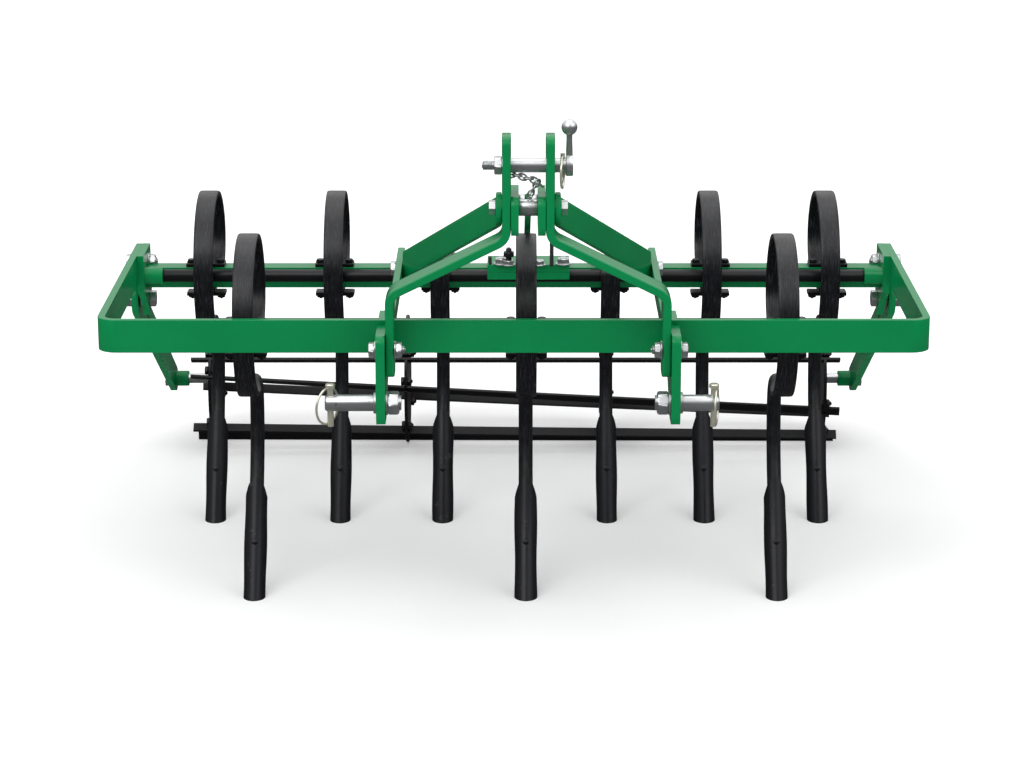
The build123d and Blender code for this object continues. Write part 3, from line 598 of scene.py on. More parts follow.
@dataclass
class Shell:
    """Closed skins in millimetres, gathered into one mesh."""

    points: list[Array] = field(default_factory=list)
    faces: list[tuple[int, ...]] = field(default_factory=list)
    along: list[Array] = field(default_factory=list)
    along_scale: float = 0.006
    total: int = 0

    def skin(self, grid: Array, loop: bool = False) -> "Shell":
        """Add a tube-like skin, closed round, with flat ends or as a loop.

        Its map runs along the skin, and across from the fold and back to it.

        Args:
            grid: n by m by 3 points, m round the section.
            loop: True when the last row joins the first.

        Returns:
            The shell, for further calls.
        """
        rows, around = grid.shape[:2]
        index = np.arange(rows * around).reshape(rows, around) + self.total
        if loop:
            index = np.concatenate([index, index[:1]])
        beside = np.roll(index, -1, axis=1)
        quads = np.stack([index[:-1], beside[:-1], beside[1:], index[1:]], 2)
        self.faces.extend(map(tuple, quads.reshape(-1, 4).tolist()))
        if not loop:
            self.faces.append(tuple(index[0][::-1].tolist()))
            self.faces.append(tuple(index[-1].tolist()))
        self.points.append(grid.reshape(-1, 3))
        fold = np.abs(np.linspace(0.0, 1.0, around) - 0.5) * 2
        run = run_along(grid.mean(1))[:, None] * self.along_scale
        self.along.append(np.stack(np.broadcast_arrays(fold, run), 2).reshape(-1, 2))
        self.total += rows * around
        return self

    def stand(self, grid: Array, place: Vector, axis: Axis | Vector) -> None:
        """Add a skin whose height axis stands on a seat in a direction."""
        self.skin(seat(grid, place, axis))

    def bolt(
        self,
        place: Vector,
        axis: Axis,
        size: float,
        washer: bool = False,
        stub: float = 0.0,
        height: float = 0.0,
    ) -> None:
        """Add a hexagon head or nut on its washer, with a thread stub past it.

        Args:
            place: Point on the seat.
            axis: Direction in which the head stands.
            size: Thread diameter.
            washer: True for a washer under the head.
            stub: Length of thread past the head.
            height: Height of the head, or 0 for a usual one.
        """
        up = np.array(axis.value)
        tall = height or size * HEAD_HEIGHT
        base = 0.0
        if washer:
            base = size * WASHER_HEIGHT
            rim = size * WASHER_R
            flat = rim - RIM_IN
            disc = [(flat, 0.0), (rim, RIM_UP), (rim, base - RIM_UP), (flat, base)]
            self.stand(turned(disc, 28), place, axis)
        self.stand(hexagon(size * HEAD_ACROSS, tall), tuple(place + up * base), axis)
        if stub > 0:
            end = tuple(place + up * (base + tall - THREAD_SINK))
            self.stand(thread(size / 2, stub), end, axis)

    def rod(self, path: Array, across: Array, radius: float, loop: bool = False) -> None:
        """Add a round rod along a path in one plane.

        Args:
            path: n by 3 points.
            across: Unit vector square to the path's plane.
            radius: Rod radius.
            loop: True for a closed ring.
        """
        if loop:
            path = np.concatenate([path[-1:], path, path[:1]])
        grid = carry(path, across, circle(radius, 16))
        self.skin(grid[1:-1] if loop else grid, loop)

    def ring(self, centre: Vector, radius: float, turn: float, wire: float) -> None:
        """Add an upright ring of round wire, turned about the height axis.

        Args:
            centre: Middle of the ring.
            radius: Radius of the wire's middle line.
            turn: Degrees from facing the front.
            wire: Radius of the wire.
        """
        step = angles(48)[:, None]
        side = np.array([math.cos(math.radians(turn)), math.sin(math.radians(turn)), 0.0])
        path = np.array(centre) + radius * (np.cos(step) * side + np.sin(step) * ALONG_Z)
        self.rod(path, np.cross(side, ALONG_Z), wire, True)

    def piece(
        self,
        name: str,
        finish: Finish,
        body: Body = Body.FRAME,
        stands_for: str = "",
        smooth: float = 34.0,
    ) -> None:
        """Make the object, dress it and tie it to its body.

        Args:
            name: Piece name.
            finish: Finish that it takes.
            body: Body that carries it.
            stands_for: CAD node that it replaces, if any.
            smooth: Angle in degrees under which an edge is shaded smooth.
        """
        points = np.concatenate(self.points) * MM
        mesh = bpy.data.meshes.new(name)
        mesh.from_pydata(points.tolist(), [], self.faces)
        layer = mesh.uv_layers.new(name="along")
        corner = np.zeros(len(mesh.loops), np.int32)
        mesh.loops.foreach_get("vertex_index", corner)
        uv = np.concatenate(self.along)[corner]
        layer.data.foreach_set("uv", uv.astype(np.float32).ravel())
        work = bmesh.new()
        work.from_mesh(mesh)
        bmesh.ops.recalc_face_normals(work, faces=work.faces)
        limit = math.radians(smooth)
        for edge in work.edges:
            edge.smooth = len(edge.link_faces) == 2 and edge.calc_face_angle(0.0) < limit
        for face in work.faces:
            face.smooth = True
        work.to_mesh(mesh)
        work.free()
        thing = bpy.data.objects.new(name, mesh)
        bpy.context.scene.collection.objects.link(thing)
        mesh.materials.append(finish.build())
        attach(thing, body.value)
        if stands_for:
            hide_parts(stands_for)
        LOG.info("%s: %d faces on %s", name, len(mesh.polygons), body.value)


# Sub-assemblies


@dataclass
class PaintedSolids:
    """CAD pieces shown as they are, with softened edges and their finishes."""

    bevel: float = 0.9
    weld: float = 0.02
    sharp: float = 38.0

    def build(self, frame: dict) -> None:
        """Dress every CAD node.
        """
        subparts = frame["record"]["subparts"]
        slots = {part["node"]: part["material_slot"] for part in subparts}
        for name, node in frame["nodes"].items():
            node.data.materials.clear()
            node.data.materials.append(BY_SLOT[slots[name]].build())
            weld = node.modifiers.new("weld", "WELD")
            weld.merge_threshold = self.weld * MM
            bevel = node.modifiers.new("bevel", "BEVEL")
            bevel.width = self.bevel * MM
            bevel.segments = 2
            bevel.limit_method = "ANGLE"
            bevel.angle_limit = math.radians(self.sharp)
            bevel.use_clamp_overlap = True
            bevel.harden_normals = True
            LOG.info("%s dressed", name)


@dataclass(frozen=True)
class BarSection:
    """Flat bar's section, and the corner radii at its first and last end."""

    width: float
    thick: float
    first_r: float
    last_r: float
    edge_r: float = 1.3
    lip: float = 0.4

    def along(self, path: Array) -> Array:
        """Sections of a bar that narrows to round corners at both ends.

        The half width near an end is w - r + sqrt(r^2 - (r - s)^2), with s the
        distance from the end plus a lip, so that no end is a mere line.

        Args:
            path: n by 3 points of the middle line.

        Returns:
            n by 44 by 2 sections.
        """
        base = flat_bar(self.width, self.thick, self.edge_r, 44)
        run = run_along(path)
        half = np.full(len(path), self.width / 2)
        for away, radius in ((run, self.first_r), (run[-1] - run, self.last_r)):
            short = radius - np.minimum(away + self.lip, radius)
            half = np.minimum(half, self.width / 2 - radius + np.sqrt(radius**2 - short**2))
        sections = np.repeat(base[None], len(path), 0)
        sections[:, :, 0] *= (half / (self.width / 2))[:, None]
        return sections


@dataclass
class BentBars:
    """Headstock sides and struts: flat bars carried along their bent middle lines.

    Points of a headstock side are (X from the hitch's middle, Z). A strut goes
    from its bolt on the mast to its foot on the rear beam, given as (Y, Z).
    """

    side_points: tuple[Pair, ...] = (
        (28.5, 679.0), (28.5, 543.9), (182.0, 468.2), (182.0, 359.0),
    )
    side_bar: BarSection = BarSection(50.0, 12.0, 12.0, 9.0)
    strut_bar: BarSection = BarSection(40.0, 8.0, 17.0, 10.0)
    side_bend: float = 20.0
    strut_bend: float = 10.0
    bolt_z: float = 583.0
    strut_foot: Pair = (-105.5, 413.25)
    strut_x: Pair = (38.5, 174.0)
    strut_tab: float = 24.0
    strut_past_bolt: float = 18.0

    def build(self) -> None:
        """Build both sides of the headstock and both struts."""
        for side, word, *_ in SIDES:
            corners = [(HITCH_X + side * x, z) for x, z in self.side_points]
            flat = bent(corners, self.side_bend, step=3.0)
            path = np.column_stack([flat[:, 0], np.full(len(flat), HEAD_Y), flat[:, 1]])
            grid = carry(path, ALONG_Y, self.side_bar.along(path))
            Shell().skin(grid).piece(
                f"headstock_{word}_bar", GREEN, stands_for=f"headstock_{word}"
            )
            self._strut(side, word)

    def _strut(self, side: int, word: str) -> None:
        """Build one strut in the plane that slopes from mast to rear beam.

        Args:
            side: -1 for left, 1 for right.
            word: Side's name.
        """
        slope = np.array([self.strut_foot[0] - HEAD_Y, self.strut_foot[1] - self.bolt_z])
        span = float(np.linalg.norm(slope))
        slope /= span
        top, low = (side * x for x in self.strut_x)
        corners = [
            (-self.strut_past_bolt, top),
            (self.strut_tab, top),
            (span - self.strut_tab, low),
            (span + self.strut_tab, low),
        ]
        flat = bent(corners, self.strut_bend, step=2.5)
        down = np.array([HEAD_Y, self.bolt_z]) + flat[:, :1] * slope
        path = np.column_stack([HITCH_X + flat[:, 1], down])
        across = np.array([0.0, slope[1], -slope[0]])
        grid = carry(path, across, self.strut_bar.along(path))
        Shell().skin(grid).piece(f"strut_{word}_bar", GREEN, stands_for=f"strut_{word}")


@dataclass
class Tine:
    """One spring tine: flat strip ring, tail, drawn end and round shank."""

    name: str
    x: float
    beam: float
    ring_top: float
    full_ring: bool
    strip_width: float = 28.0
    strip_thick: float = 8.0
    strip_edge: float = 1.6
    ring_r: float = 108.0
    setback: float = 60.0
    tail_r: float = 50.0
    tail_front: float = 22.0
    draw: float = 38.0
    hook_gap: float = 0.3
    hook_tail: float = 13.0
    hook_front_r: float = 90.0
    shank_r: float = 10.0
    bend_r: float = 38.0
    curve_r: float = 200.0
    lean: float = 30.0
    stop: float = 55.0
    share_thick: float = 8.0
    tip_from_ring: float = 48.0

    def foot(self) -> float:
        """Y at which the shank's line would meet the ground, behind the share's tip."""
        behind = (self.shank_r + self.share_thick) / math.cos(math.radians(self.lean))
        return self.beam + self.setback - self.tip_from_ring + behind

    def _ringed(self, ring_z: float) -> Array:
        """Strip of a full ring: tail under the beam, bend, then the ring.

        Args:
            ring_z: Height of the ring's middle.

        Returns:
            n by 2 points in (Y, Z).
        """
        ring_y = self.beam + self.setback
        tail_z = BEAM_BOTTOM - self.strip_thick / 2
        rise = tail_z + self.tail_r - ring_z
        reach = math.sqrt((self.ring_r - self.tail_r) ** 2 - rise**2)
        join = math.degrees(math.atan2(rise, reach))
        bend = (ring_y + reach, tail_z + self.tail_r)
        return chain(
            line((self.beam - self.tail_front, tail_z), (bend[0], tail_z), 4),
            arc(bend, self.tail_r, -90, 90 + join, 4),
            arc((ring_y, ring_z), self.ring_r, join, 270 - join, 4),
        )

    def _hooked(self, draw_z: float) -> Array:
        """Strip that hooks over the rod and curves back under it.

        Args:
            draw_z: Height at which the strip ends.

        Returns:
            n by 2 points in (Y, Z).
        """
        hook = ROD_R + self.hook_gap + self.strip_thick / 2
        front = ROD_Y - hook
        front_z = draw_z + self.hook_front_r
        return chain(
            line((self.beam + self.hook_tail, ROD_Z + hook), (ROD_Y, ROD_Z + hook), 3),
            arc((ROD_Y, ROD_Z), hook, 90, 90, 2),
            line((front, ROD_Z), (front, front_z), 4),
            arc((front + self.hook_front_r, front_z), self.hook_front_r, 180, 90, 4),
        )

    def path(self) -> tuple[Array, Array]:
        """Middle line of the tine in (Y, Z), and the share of roundness.

        The share is 0 on the strip and 1 on the shank. Over the drawn length it
        is 3 t^2 - 2 t^3, with t the part of that length that is run.

        Returns:
            n by 2 points, and n values from 0 to 1.
        """
        ring_z = self.ring_top - self.strip_thick / 2 - self.ring_r
        draw_z = ring_z - self.ring_r
        strip = self._ringed(ring_z) if self.full_ring else self._hooked(draw_z)
        draw_y = strip[-1, 0]
        lean = math.radians(self.lean)
        run = (draw_z - self.bend_r - self.curve_r * math.sin(lean)) / math.cos(lean)
        low = self.foot() - self.bend_r + self.curve_r * (1 - math.cos(lean))
        low += run * math.sin(lean)
        bend_z = draw_z - self.bend_r
        curve_y = low + self.bend_r - self.curve_r
        down = np.array([-math.sin(lean), -math.cos(lean)])
        end = np.array([curve_y, bend_z]) + self.curve_r * np.array([-down[1], down[0]])
        tip = end + (run - self.stop) * down
        path = chain(
            strip,
            line((draw_y, draw_z), (draw_y + self.draw, draw_z), 4),
            line((draw_y + self.draw, draw_z), (low, draw_z), 6),
            arc((low, bend_z), self.bend_r, 90, -90, 3),
            arc((curve_y, bend_z), self.curve_r, 0, -self.lean, 6),
            line(tuple(end), tuple(tip), 12),
        )
        past = np.arange(len(path)) >= len(strip)
        drawn = past.astype(float)
        part_way = np.clip((path[:, 0] - draw_y) / self.draw, 0, 1)
        near = past & (path[:, 1] > draw_z - SAME_LEVEL)
        drawn[near] = (part_way**2 * (3 - 2 * part_way))[near]
        return path, drawn

    def build(self) -> None:
        """Carry the section along the path, from flat strip to round shank.

        A section's point is the strip's, moved towards the shank's by the share
        of roundness.
        """
        path, drawn = self.path()
        flat = flat_bar(self.strip_width, self.strip_thick, self.strip_edge, 40)
        section = flat + drawn[:, None, None] * (circle(self.shank_r, 40) - flat)
        grid = carry(upright(path, self.x), ALONG_X, section)
        Shell().skin(grid).piece(
            f"{self.name}_strip", SPRING, stands_for=self.name, smooth=40.0
        )


@dataclass
class TineSet:
    """All nine tines, as (node, share of the half width, front row, ring)."""

    rows: tuple[tuple[str, float, bool, bool], ...] = (
        ("tine_front_left", -0.664, True, True),
        ("tine_front_centre", 0.0312, True, True),
        ("tine_front_right", 0.674, True, True),
        ("tine_rear_far_left", -0.824, False, True),
        ("tine_rear_left", -0.479, False, True),
        ("tine_rear_inner_left", -0.196, False, False),
        ("tine_rear_inner_right", 0.258, False, False),
        ("tine_rear_right", 0.527, False, True),
        ("tine_rear_far_right", 0.841, False, True),
    )
    front_top: float = 511.0
    rear_top: float = 498.0
    clamp: float = 5.0
    clamp_half: float = 21.0
    hook_rise: float = 8.3
    bolt_size: float = 7.0

    def tines(self) -> list[Tine]:
        """Return the tines at their places."""
        return [
            Tine(
                name=name,
                x=share * HOOP_INNER,
                beam=FRONT_BEAM if front else REAR_BEAM,
                ring_top=self.front_top if front else self.rear_top,
                full_ring=ring,
            )
            for name, share, front, ring in self.rows
        ]

    def build(self) -> None:
        """Build every tine, and the two bolts that draw its clamp together."""
        bolts = Shell()
        for tine in self.tines():
            tine.build()
            top = BEAM_TOP + self.clamp + (0 if tine.full_ring else self.hook_rise)
            low = BEAM_BOTTOM - self.clamp - (tine.strip_thick if tine.full_ring else 0)
            for x in (tine.x - self.clamp_half, tine.x + self.clamp_half):
                bolts.bolt((x, tine.beam, top), Axis.UP, self.bolt_size)
                bolts.bolt((x, tine.beam, low), Axis.DOWN, self.bolt_size, stub=2.5)
        bolts.piece("tine_clamp_bolts", BLACK_BOLT)


@dataclass
class ShareBlades:
    """Half-round share blades with rounded shoulders and a rivet head.

    A point of a blade is the shank's axis plus s down the axis, plus r times
    the sine of the angle across and r times its cosine to the front. The top
    edge starts at s = shoulder times the width's share to the power 2.4, so
    the shoulders are round, and the foot ends where the height is zero. Both
    edges are drawn in by the wave, and put out again by the wave times the sine
    of s times its rate plus the tine's X, times the cube of the angle's sine.
    """

    length: float = 168.0
    half_width: float = 16.2
    bore: float = 10.1
    shoulder: float = 26.0
    shoulder_power: float = 2.4
    ease: float = 0.35
    wave: float = 0.5
    wave_rate: float = 0.055
    rivet: float = 0.55
    rivet_sink: float = 0.3
    rivet_head: tuple[Pair, ...] = ((3.6, -1.0), (4.6, 0.4), (4.4, 1.5), (3.0, 2.1), (1.0, 2.3))

    def build(self, tines: list[Tine]) -> None:
        """Build the blades of both rows.

        Args:
            tines: Tines that carry them.
        """
        for row, beam in (("front", FRONT_BEAM), ("rear", REAR_BEAM)):
            shell = Shell()
            for tine in tines:
                if tine.beam == beam:
                    self._blade(shell, tine)
            shell.piece(f"share_blades_{row}", SHARE, stands_for=f"shares_{row}", smooth=50.0)

    def _blade(self, shell: Shell, tine: Tine) -> None:
        """Add one blade and its rivet head.

        Args:
            shell: Shell that takes them.
            tine: Tine that carries the blade.
        """
        lean = math.radians(tine.lean)
        down = np.array([0.0, -math.sin(lean), -math.cos(lean)])
        front = np.array([0.0, -math.cos(lean), math.sin(lean)])
        top = np.array([tine.x, tine.foot(), 0.0]) - down * self.length
        share = np.linspace(0.0, 1.0, 40)
        ease = share * share * (3 - 2 * share) * self.ease + share * (1 - self.ease)
        columns = []
        for turn in np.radians(np.linspace(-90, 90, 25)):
            sides = []
            for radius in (self.half_width, self.bore):
                across = radius * math.sin(turn)
                ahead = radius * math.cos(turn)
                start = self.shoulder * abs(across / self.half_width) ** self.shoulder_power
                end = (top[2] + ahead * front[2]) / math.cos(lean)
                run = start + ease * (end - start)
                bulge = np.sin(run * self.wave_rate + tine.x) * abs(math.sin(turn)) ** 3
                point = top + run[:, None] * down + ahead * front
                point[:, 0] += across + self.wave * (bulge - 1) * math.copysign(1.0, turn)
                sides.append(point)
            columns.append(np.concatenate([sides[0], sides[1][::-1]]))
        shell.skin(np.array(columns))
        place = top + down * self.length * self.rivet + front * (self.half_width - self.rivet_sink)
        shell.stand(turned(self.rivet_head, 20), tuple(place), tuple(front))


@dataclass(frozen=True)
class BoltPair:
    """Two like bolts, mirrored about a middle, with their heads out or in."""

    middle: float
    half: float
    y: float
    z: float
    outward: bool
    size: float = 12.0
    washer: bool = True
    stub: float = 0.0
    height: float = 0.0

    def build(self, shell: Shell) -> None:
        """Add both bolts.

        Args:
            shell: Shell that takes them.
        """
        for side in (-1, 1):
            axis = Axis.RIGHT if (side > 0) == self.outward else Axis.LEFT
            place = (self.middle + side * self.half, self.y, self.z)
            shell.bolt(place, axis, self.size, self.washer, self.stub, self.height)


@dataclass
class FrameBolts:
    """Zinc bolts of legs, rails, stringers and the centre clamp, and dark studs.

    The rows of the centre clamp are (X from the hitch's middle, Y, size, stub),
    those of the studs (X from the hitch's middle, Y, Z, radius, length).
    """

    pairs: tuple[BoltPair, ...] = (
        BoltPair(HITCH_X, HITCH_HALF, HOOP_FRONT - 40, 395.0, True),
        BoltPair(HITCH_X, HITCH_HALF - 24, HOOP_FRONT - 40, 395.0, False, stub=5.0),
        BoltPair(0.0, HOOP_HALF - 20, -21.5, 404.0, False, stub=4.0),
        BoltPair(0.0, HOOP_HALF, -21.5, 404.0, True, height=10.0),
        BoltPair(HITCH_X, 188.0, -105.5, 413.0, True, washer=False),
        BoltPair(HITCH_X, 170.0, -105.5, 413.0, False, washer=False, stub=4.0),
    )
    clamp: tuple[tuple[float, float, float, float], ...] = (
        (-37.0, -78.0, 11.0, 3.0),
        (53.0, -78.0, 11.0, 3.0),
        (-26.0, -84.0, 9.0, 0.0),
        (18.0, -84.0, 9.0, 0.0),
    )
    clamp_top: float = 412.5
    studs: tuple[tuple[float, float, float, float, float], ...] = (
        (-26.0, -84.0, 411.5, 4.6, 27.0),
        (-53.0, -78.0, 412.0, 3.0, 12.0),
        (36.0, -86.0, 412.0, 3.3, 46.0),
    )
    stud_nut: Pair = (15.0, 7.0)
    stud_nut_place: Vector = (HITCH_X - 26, -84.0, 425.5)
    bracket_pair: BoltPair = BoltPair(0.0, 545.0, -5.0, 347.0, False, 10.0, stub=3.0)

    def build(self) -> None:
        """Build the zinc bolts in one shell and the dark ones in another."""
        zinc = Shell()
        for pair in self.pairs:
            pair.build(zinc)
        for x, y, size, stub in self.clamp:
            zinc.bolt((HITCH_X + x, y, self.clamp_top), Axis.UP, size, True, stub)
        zinc.piece("frame_bolts", ZINC)
        dark = Shell()
        for x, y, z, radius, length in self.studs:
            dark.stand(thread(radius, length), (HITCH_X + x, y, z), Axis.UP)
        dark.stand(hexagon(*self.stud_nut), self.stud_nut_place, Axis.UP)
        self.bracket_pair.build(dark)
        dark.piece("dark_studs", BLACK_BOLT)


@dataclass
class LowerPins:
    """Lower link pins with collar, washer and nut, and their linch pins.

    Rows are (radius, distance): from the plate's outer face for the pin's root,
    from its end for its point, and from the seat for washer and linch head. The
    nut is (width across the flats, height, chamfer).
    """

    y: float = HOOP_FRONT - 45.0
    z: float = 324.0
    reach: Pair = (68.0, 52.0)
    plate: float = 12.05
    root: tuple[Pair, ...] = (
        (10.0, -32.5), (10.0, 0.05), (13.6, 0.1), (14.2, 0.7), (14.2, 3.4), (13.6, 4.0),
        (11.0, 4.2),
    )
    point: tuple[Pair, ...] = ((11.0, -3.0), (10.4, -1.2), (9.0, 0.0))
    washer: tuple[Pair, ...] = ((15.6, 0.0), (16.2, 0.5), (16.2, 2.4), (15.6, 2.9))
    nut: Vector = (28.0, 15.0, 2.4)
    linch_from_end: float = 7.0
    linch_above: float = 20.0
    linch_below: float = 32.0
    linch_r: float = 4.2
    linch_head: tuple[Pair, ...] = ((2, 0), (6, 0.6), (6.6, 2), (6.6, 5), (5.4, 6.4), (2, 7))
    ring_r: float = 24.0
    ring_wire: float = 1.6
    ring_turn: Pair = (56.0, 82.0)
    ring_place: Vector = (4.0, 2.6, -5.0)

    def build(self) -> None:
        """Build one piece for each pin, then one for both linch pins."""
        linch = Shell()
        for (side, word, out, into), reach, turn in zip(SIDES, self.reach, self.ring_turn):
            face = HITCH_X + side * HITCH_HALF
            inner = face - side * self.plate
            outer = inner - side * self.washer[-1][1]
            pin = [*self.root, *((radius, reach + gap) for radius, gap in self.point)]
            shell = Shell()
            shell.stand(turned(pin, 40), (face, self.y, self.z), out)
            shell.stand(turned(self.washer, 36), (inner, self.y, self.z), into)
            shell.stand(hexagon(*self.nut), (outer, self.y, self.z), into)
            shell.piece(f"lower_pin_{word}_turned", ZINC, stands_for=f"lower_pin_{word}")
            x = face + side * (reach - self.linch_from_end)
            top = (self.y, self.z + self.linch_above)
            stem = line(top, (self.y, self.z - self.linch_below), 2)
            linch.rod(upright(stem, x), ALONG_X, self.linch_r)
            linch.stand(turned(self.linch_head, 24), (x, *top), Axis.UP)
            away, back, rise = self.ring_place
            centre = (x + side * away, self.y + back, self.z + rise)
            linch.ring(centre, self.ring_r, turn, self.ring_wire)
        linch.piece("linch_pins", BRASSY)


@dataclass
class ClipChain:
    """Clip through the top pin with its ring, and the chain that hangs from it.

    The chain's points are (X, Z) from the middle of the top pin.
    """

    runs: tuple[tuple[Pair, ...], ...] = (
        ((-27, -12), (-19, -12.6), (-11, -14), (-4, -17), (4, -18), (11, -22), (17, -27)),
        ((13, -21), (8.6, -27), (5, -34), (1.6, -40.5)),
    )
    rolls: Pair = (25.0, 90.0)
    overlap: float = 2.4
    half_width: float = 3.9
    wire: float = 1.35
    clip_x: float = HITCH_X + 44.4
    clip_drop: float = 9.0
    clip_half: float = 16.0
    clip_stem_r: float = 2.9
    ring_r: float = 20.5
    ring_turn: float = 83.0
    ring_wire: float = 1.7

    def build(self) -> None:
        """Build the ring, the stem and the links."""
        clip = Shell()
        centre = (self.clip_x, HEAD_Y, TOP_PIN_Z - self.clip_drop)
        clip.ring(centre, self.ring_r, self.ring_turn, self.ring_wire)
        ends = [(HEAD_Y, TOP_PIN_Z + rise) for rise in (self.clip_half, -self.clip_half)]
        clip.rod(upright(line(*ends, 2), self.clip_x), ALONG_X, self.clip_stem_r)
        clip.piece("top_pin_clip", BRASSY)
        links = Shell()
        for run in self.runs:
            for place, (start, end) in enumerate(zip(run[:-1], run[1:])):
                self._link(links, start, end, self.rolls[place % 2])
        links.piece("clip_chain", ZINC)

    def _link(self, shell: Shell, start: Pair, end: Pair, roll: float) -> None:
        """Add one oval link: a round wire along a stretched circle.

        Args:
            shell: Shell that takes it.
            start: First end, from the top pin's middle in (X, Z).
            end: Other end.
            roll: Turn about the link's length in degrees.
        """
        length = math.dist(start, end)
        ahead = np.array([end[0] - start[0], 0.0, end[1] - start[1]]) / length
        over = np.array([-ahead[2], 0.0, ahead[0]])
        tilt = math.radians(roll)
        wide = over * math.cos(tilt) + ALONG_Y * math.sin(tilt)
        x, z = (np.array(start) + np.array(end)) / 2
        turn = angles(28)[:, None]
        reach = length / 2 + self.overlap
        wire = np.array([HITCH_X + x, HEAD_Y, TOP_PIN_Z + z]) + np.cos(turn) * reach * ahead
        wire += np.sin(turn) * self.half_width * wide
        shell.rod(wire, np.cross(ahead, wide), self.wire, True)


@dataclass
class TopPin:
    """Top link pin with its head, handle and knob, and the nut on its end.

    The rows of the shaft and the handle are (radius, distance), from the
    hitch's middle to the right and from the pin's middle up.
    """

    shaft: tuple[Pair, ...] = (
        (8.6, -39.0), (9.4, -38.0), (9.4, 47.0), (9.4, 48.0), (13.0, 48.4), (14.0, 49.5),
        (14.0, 56.5), (13.0, 58.0),
    )
    handle: tuple[Pair, ...] = ((4.2, 10.0), (4.5, 14.0), (4.2, 24.0), (3.8, 34.0), (4.0, 43.0))
    handle_x: float = HITCH_X + 53.0
    knob_r: float = 10.4
    knob_rise: float = 50.0
    knob_foot: float = 0.35
    knob_top: float = 0.05
    nut_x: float = HITCH_X - 34.5
    nut_size: float = 14.4
    nut_height: float = 10.0
    tip: Pair = (6.4, 17.0)
    tip_start: float = 9.0

    def build(self) -> None:
        """Build the pin with its handle and knob, then the nut and thread."""
        shell = Shell()
        shell.stand(turned(self.shaft, 40), (HITCH_X, HEAD_Y, TOP_PIN_Z), Axis.RIGHT)
        foot = (self.handle_x, HEAD_Y, TOP_PIN_Z)
        shell.stand(turned(self.handle, 20), foot, Axis.UP)
        turn = np.linspace(-np.pi / 2 + self.knob_foot, np.pi / 2 - self.knob_top, 18)
        knob = self.knob_r * np.stack([np.cos(turn), np.sin(turn)], 1) + (0.0, self.knob_rise)
        shell.stand(turned(knob, 32), foot, Axis.UP)
        shell.piece("top_pin_with_handle", ZINC, stands_for="top_link_pin")
        ends = Shell()
        place = (self.nut_x, HEAD_Y, TOP_PIN_Z)
        ends.bolt(place, Axis.LEFT, self.nut_size, height=self.nut_height)
        ends.stand(thread(*self.tip), (self.nut_x - self.tip_start, HEAD_Y, TOP_PIN_Z), Axis.LEFT)
        ends.piece("top_pin_nut", ZINC)


@dataclass(frozen=True)
class CageBar:
    """One bar: its angle about the axle at the left and right end, and the twist
    at both, which is the lean of the section's long side from the radius.
    """

    left: float
    right: float
    twist: float = 0.0
    last_twist: float = 0.0
    bolted: bool = True


@dataclass
class Cage:
    """Bars of the roller cage, and the black bolts that hold them at each disc.

    Angle and twist run evenly from end to end. A bar's point is the axle plus
    the bar's radius along the ray at that angle, plus a times the long way and
    b times the thin way of the section. A bolt sits a little way round the rim:
    its angle is the bar's angle at that disc plus a fixed turn.
    """

    bars: tuple[CageBar, ...] = (
        CageBar(80.0, 80.0), CageBar(33.0, 33.0), CageBar(17.0, -18.0, 10.0, 85.0),
        CageBar(-40.0, -56.0), CageBar(-90.0, -84.0, bolted=False),
        CageBar(203.0, 232.0, 90.0, 70.0), CageBar(162.0, 162.0), CageBar(124.0, 124.0),
    )
    depth: float = 15.0
    thick: float = 5.0
    edge_r: float = 0.9
    around: int = 32
    discs: tuple[float, ...] = (-487.0, -172.6, 149.8, 500.0)
    disc_half: float = 2.5
    bolt_size: float = 8.0
    bolt_turn: float = 7.0
    bolt_radius: float = 94.0

    def build_bars(self) -> None:
        """Build the bars as one piece."""
        shell = Shell()
        section = flat_bar(self.depth, self.thick, self.edge_r, self.around)
        share = np.linspace(0.0, 1.0, 48)[:, None]
        across = np.repeat(ROLLER_X + CAGE_HALF * (2 * share - 1), self.around, 1)[..., None]
        for bar in self.bars:
            turn = np.radians(bar.left + (bar.right - bar.left) * share)
            ray = np.concatenate([-np.cos(turn), np.sin(turn)], 1)
            round_way = np.concatenate([np.sin(turn), np.cos(turn)], 1)
            lean = np.radians(bar.twist + (bar.last_twist - bar.twist) * share)
            long_way = ray * np.cos(lean) + round_way * np.sin(lean)
            thin_way = round_way * np.cos(lean) - ray * np.sin(lean)
            middle = np.array([ROLLER_Y, ROLLER_R]) + ray * (ROLLER_R - self.depth / 2)
            flat = middle[:, None] + section[:, :1] * long_way[:, None]
            flat = flat + section[:, 1:] * thin_way[:, None]
            shell.skin(np.concatenate([across, flat], 2))
        shell.piece("cage_bars", BLACK, Body.ROLLER, "roller_bars")

    def build_bolts(self) -> None:
        """Build the bolts in one shell."""
        shell = Shell()
        for x in self.discs:
            share = (x - ROLLER_X + CAGE_HALF) / (2 * CAGE_HALF)
            for bar in self.bars:
                if not bar.bolted:
                    continue
                turn = bar.left + (bar.right - bar.left) * share + self.bolt_turn
                y = ROLLER_Y - self.bolt_radius * math.cos(math.radians(turn))
                z = ROLLER_R + self.bolt_radius * math.sin(math.radians(turn))
                shell.bolt((x - self.disc_half, y, z), Axis.LEFT, self.bolt_size)
                shell.bolt((x + self.disc_half, y, z), Axis.RIGHT, self.bolt_size, stub=4.0)
        shell.piece("cage_bolts", BLACK_BOLT, Body.ROLLER)


